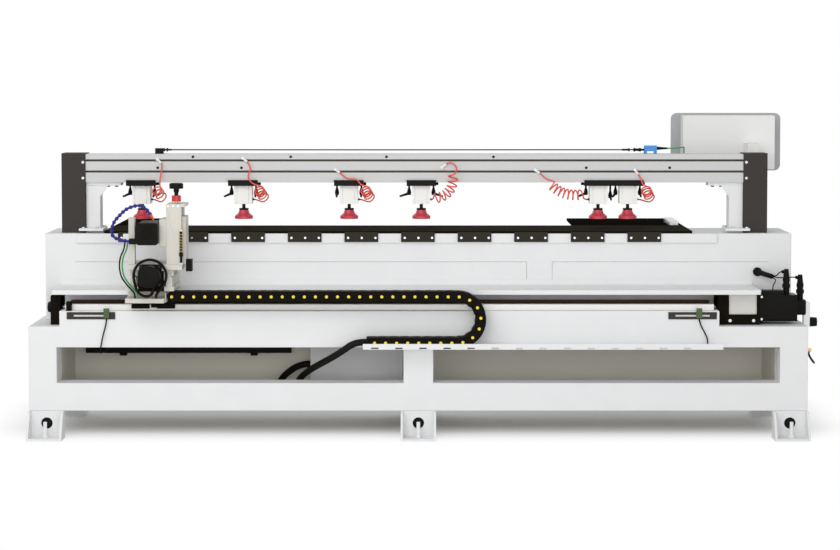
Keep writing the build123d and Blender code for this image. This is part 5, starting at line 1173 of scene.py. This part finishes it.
def bead_tree():
    """Equal beads on a core along a line."""
    tree, entry = geometry_tree("beads", {"Count": "Int", "Bead Radius": "Float", "Core Radius": "Float"})
    ball = {"Segments": BEAD_SIDES, "Rings": BEAD_RINGS, "Radius": entry["Bead Radius"]}
    bead = add_node(tree, "GeometryNodeMeshUVSphere", ball)["Mesh"]
    beads, line = strung(tree, entry, bead, axis="Z")
    both = tree.nodes.new("GeometryNodeJoinGeometry")
    for geometry in (round_bar(tree, line, entry["Core Radius"], BEAD_SIDES), beads):
        feed(tree, both, {"Geometry": geometry})
    return close_tree(tree, entry, both.outputs["Geometry"])


tip_end = (within(low_z=above(940)), "nozzle_orange")
tip = dressed("nozzle_hose", "lever_black", (tip_end,), bevel=0.5, keep=within(size_z=below(60)))
nozzle_path = line_points("nozzle_line", [(x, NOZZLE_Y, z) for x, z in NOZZLE_HOSE])
bead_values = {"Count": NOZZLE_BEADS, "Bead Radius": BEAD_RADIUS * MM, "Core Radius": BEAD_CORE * MM}
bead_line = line_mesh("nozzle_beads", [point / MM for point in nozzle_path])
nozzle = grown("nozzle_beads", bead_line, bead_tree(), "hose_blue", bead_values)
settle(nozzle, "nozzle_hose")

# %% [markdown]
# The rope's tightener and its eye bolt are turned on a lathe, and so is their shape here: a profile of
# distances along an axis and radii, spun round that axis. Stacked cylinders would leave faces inside. The
# black cups behind the holes in the feet are spun the same way. They are painted shade: dark pieces that
# stand for the shadow under the base, seen through the holes.

# %% Turned fittings
ROUND_SIDES = 24
ALONG_ROPE = (1, 0, 0)
TIGHTENER = (
    (0, 3.2), (0, 4.5), (28, 4.5), (28, 7), (34, 7), (34, 3), (50, 3), (52, 8.5), (58, 8.5), (60, 6),
    (74, 6), (75, 8), (84, 8), (86, 5), (99, 5),
)
EYE_BOLT = ((0, 7), (7, 7), (7, 3.2), (13, 3.2), (13, 8), (19, 8), (21, 4), (36, 4), (36, 3.2))
FOOT_SHADE_CUP = ((0, 24.4), (0, 25.2), (24, 25.2), (24, 0.5))
FOOT_X = 1623
FOOT_FACES = ((9, 1), (571, -1))
FOOT_HOLE_Z = 66


def turned(name, start, way, profile, finish_name, body=None):
    """A fitting spun from a profile of distances and radii in millimetres."""
    along = Vector(way).normalized()
    side = along.orthogonal().normalized()
    across = along.cross(side)
    angles = [FULL_TURN * step / ROUND_SIDES for step in range(ROUND_SIDES)]
    outwards = [side * math.cos(angle) + across * math.sin(angle) for angle in angles]
    shape = bmesh.new()
    rings = []
    for distance, radius in profile:
        centre = Vector(start) + along * distance
        rings.append([shape.verts.new((centre + out * radius) * MM) for out in outwards])
    for before, after in zip(rings, rings[1:]):
        for step in range(ROUND_SIDES):
            shape.faces.new((before[step - 1], before[step], after[step], after[step - 1]))
    for end in (rings[0], rings[-1]):
        shape.faces.new(end)
    bmesh.ops.recalc_face_normals(shape, faces=shape.faces)
    mesh = mesh_of(shape, name, [FINISH[finish_name]])
    smooth(mesh)
    piece = add_object(name, mesh)
    if body:
        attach(piece, body)
    return piece


ROPE_FITTINGS = {"rope_tightener": (ROPE_END, TIGHTENER), "rope_eye_bolt": (ROPE_START, EYE_BOLT)}
for name, (start, profile) in ROPE_FITTINGS.items():
    piece = turned(name, start, ALONG_ROPE, profile, "lever_black", "base")
    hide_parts("pull_cord_switch")
# A black cup behind each hole of the feet is painted shade: it stands for the shadow under the base, seen
# through the hole.
for foot_x in (-FOOT_X, 0, FOOT_X):
    for foot_y, way in FOOT_FACES:
        name = f"foot_cup_{foot_x + FOOT_X}_{foot_y}"
        start = (foot_x, foot_y, FOOT_HOLE_Z)
        turned(name, start, (0, way, 0), FOOT_SHADE_CUP, "cable_black", "base")

# %% [markdown]
# The lower run of the chain shows round yellow pins, one on each link and one on the chain's end. If they
# were painted on the run, they would be drawn out into ovals when it lengthens. So each is a turned piece
# of its own, baked into its place and riding on no body.

# %% Pins of the lower run
PIN_HEIGHT = 0.4
PIN_SUNK = 3
PIN_MARGIN = 0.1
lower_shape = node_shape("chain_lower_run")
pin_boxes = []
for island in islands_of(lower_shape):
    pin_boxes.append(box_of([point for point in island if point.co.y / MM < CHAIN_FRONT + PIN_MARGIN]))
lower_shape.free()
pin_boxes.sort()
radius = pin_boxes[0].size_z / 2 - PIN_RIM
profile = ((-PIN_SUNK, radius), (PIN_HEIGHT / 2, radius), (PIN_HEIGHT, radius - PIN_HEIGHT))
pin_places = [middle_of(box) for box in pin_boxes]
pin_places.insert(0, [pin_places[0][0] - CHAIN_PITCH, *pin_places[0][1:]])
for index, place in enumerate(pin_places, 1):
    name = f"chain_lower_pin_{index}"
    round_pin = turned(name, place, (0, -1, 0), profile, "pin_yellow")
    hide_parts("chain_lower_run")
    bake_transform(round_pin)
print("pins of the lower run", len(pin_places))

# %% [markdown]
# A brass coil spring sits on a rod beside the head's column. It could be a screw modifier on a small
# circle. A tree draws it as a spiral with a round wire, so that its turns and its height are named inputs.

# %% Spring
SPRING_STEPS = 18
WIRE_SIDES = 8
SPRING = {"Turns": 7.0, "Radius": 0.0066, "Height": 0.086, "Wire": 0.0018, "Base": spot(-1020, -108, 825)}


def spring_tree():
    """A coil spring that stands on a point."""
    sizes = ("Turns", "Radius", "Height", "Wire")
    tree, entry = geometry_tree("spring", {**dict.fromkeys(sizes, "Float"), "Base": "Vector"})
    spiral = {"Resolution": SPRING_STEPS, "Rotations": entry["Turns"], "Height": entry["Height"]}
    spiral.update(dict.fromkeys(("Start Radius", "End Radius"), entry["Radius"]))
    line = add_node(tree, "GeometryNodeCurveSpiral", spiral)["Curve"]
    wire = round_bar(tree, line, entry["Wire"], WIRE_SIDES)
    placed = {"Geometry": wire, "Translation": entry["Base"]}
    return close_tree(tree, entry, add_node(tree, "GeometryNodeTransform", placed)["Geometry"])


spring = grown("balance_spring", bpy.data.meshes.new("spring"), spring_tree(), "brass", SPRING)
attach(spring, "y_slide")
print("spring with", SPRING["Turns"], "turns")

# %% [markdown]
# Socket screws hold the plates, the beam and the motors. One screw could be modelled and copied by hand. A
# tree that sets a head with its socket on every point it is given keeps all heads the same and square to
# their plate. Half of each head stands out of its face.

# %% Screws
SCREW_SIDES = 16
SOCKET_WIDTH = 0.55
SOCKET_DEPTH = 0.4
COVER_FRONT = 286
BRACKET_FRONT = 58.5
SERVO_FRONT = 62.5
COLUMN_FRONT = -100
MOTOR_FRONT = -132
MOTOR_HOLES = (-39, 39)
FRONT_ROW, BACK_ROW = 268, 366


def screw_tree():
    """A socket screw on every point, its head pointing along one direction."""
    sizes = {"Head Radius": "Float", "Head Height": "Float", "Facing": "Vector"}
    tree, entry = geometry_tree("socket_screws", sizes)
    bar = {"Vertices": SCREW_SIDES, "Radius": entry["Head Radius"], "Depth": entry["Head Height"]}
    head = add_node(tree, "GeometryNodeMeshCylinder", bar)
    top = {"Mesh": head["Mesh"], "Selection": head["Top"], "Offset Scale": 0}
    rim = add_node(tree, "GeometryNodeExtrudeMesh", top)
    inner = {"Geometry": rim["Mesh"], "Selection": rim["Top"], "Scale": SOCKET_WIDTH}
    narrow = add_node(tree, "GeometryNodeScaleElements", inner)["Geometry"]
    depth = sum_node(tree, "MULTIPLY", entry["Head Height"], -SOCKET_DEPTH)
    sunk = {"Mesh": narrow, "Selection": rim["Top"], "Offset Scale": depth}
    screw = add_node(tree, "GeometryNodeExtrudeMesh", sunk)["Mesh"]
    turn = add_node(tree, "FunctionNodeAlignRotationToVector", {"Vector": entry["Facing"]}, axis="Z")
    places = {"Points": entry["Geometry"], "Instance": screw, "Rotation": turn["Rotation"]}
    return close_tree(tree, entry, add_node(tree, "GeometryNodeInstanceOnPoints", places)["Instances"])


SCREWS = screw_tree()
TO_FRONT = (0, -1, 0)
UPWARDS = (0, 0, 1)
BRIGHT = "bright_steel"
fence_shape = node_shape("fence_screws")
fence_points = sorted(middle_of(box_of(island)) for island in islands_of(fence_shape))
fence_shape.free()
cover_points = [(x, COVER_FRONT, z) for x in (-1503, 1469) for z in (1194, 1123)]
beam_points = [(x, BEAM_FACES[0], 1218) for x in (-1010, -572, -143, 336)]
beam_points += [(x, BEAM_FACES[0], 1169) for x in (-1168, -793, 752, 1126)]
post_points = [(x, FRONT_ROW, FLANGE_Z[1]) for x in (-1500, -1438, 1407, 1470)]
post_points += [(x, BACK_ROW, FLANGE_Z[1]) for x in (-1419, 1384)]
bracket_points = [(x, BRACKET_FRONT, 509) for x in (1367, 1470)]
servo_points = [(1506, SERVO_FRONT, z) for z in (515, 613)]
column_points = [(x, COLUMN_FRONT, 1022) for x in (-1075, -1054, -1032)]
flange_points = [(MOTOR_X + x, MOTOR_FRONT, MOTOR_Z + z) for x in MOTOR_HOLES for z in MOTOR_HOLES]
# Points, direction, radius and height of the head, finish, body and slot of each set of screws.
SCREW_SETS = {
    "fence_socket_screws": (fence_points, TO_FRONT, 5, 4, "steel", "base", NODE_SLOT["fence_screws"]),
    "cover_screws": (cover_points, TO_FRONT, 6, 4, "fitting_white", "base", BRIGHT),
    "beam_screws": (beam_points, TO_FRONT, 6, 3, "lever_black", "base", "lever_black"),
    "post_screws": (post_points, UPWARDS, 8, 12, "steel", "base", BRIGHT),
    "bracket_screws": (bracket_points, TO_FRONT, 7, 5, "steel", "base", BRIGHT),
    "servo_screws": (servo_points, TO_FRONT, 5, 5, "steel", "base", BRIGHT),
    "column_screws": (column_points, TO_FRONT, 4, 4, "steel", "y_slide", BRIGHT),
    "flange_screws": (flange_points, TO_FRONT, 5, 5, "cover_black", "carriage", BRIGHT),
}
for name, (points, facing, radius, height, color, body, slot) in SCREW_SETS.items():
    values = {"Head Radius": radius * MM, "Head Height": height * MM, "Facing": facing}
    heads = grown(name, line_mesh(name, points, joined=False), SCREWS, color, values)
    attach(heads, body)
    print(name, len(points))
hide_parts("fence_screws")
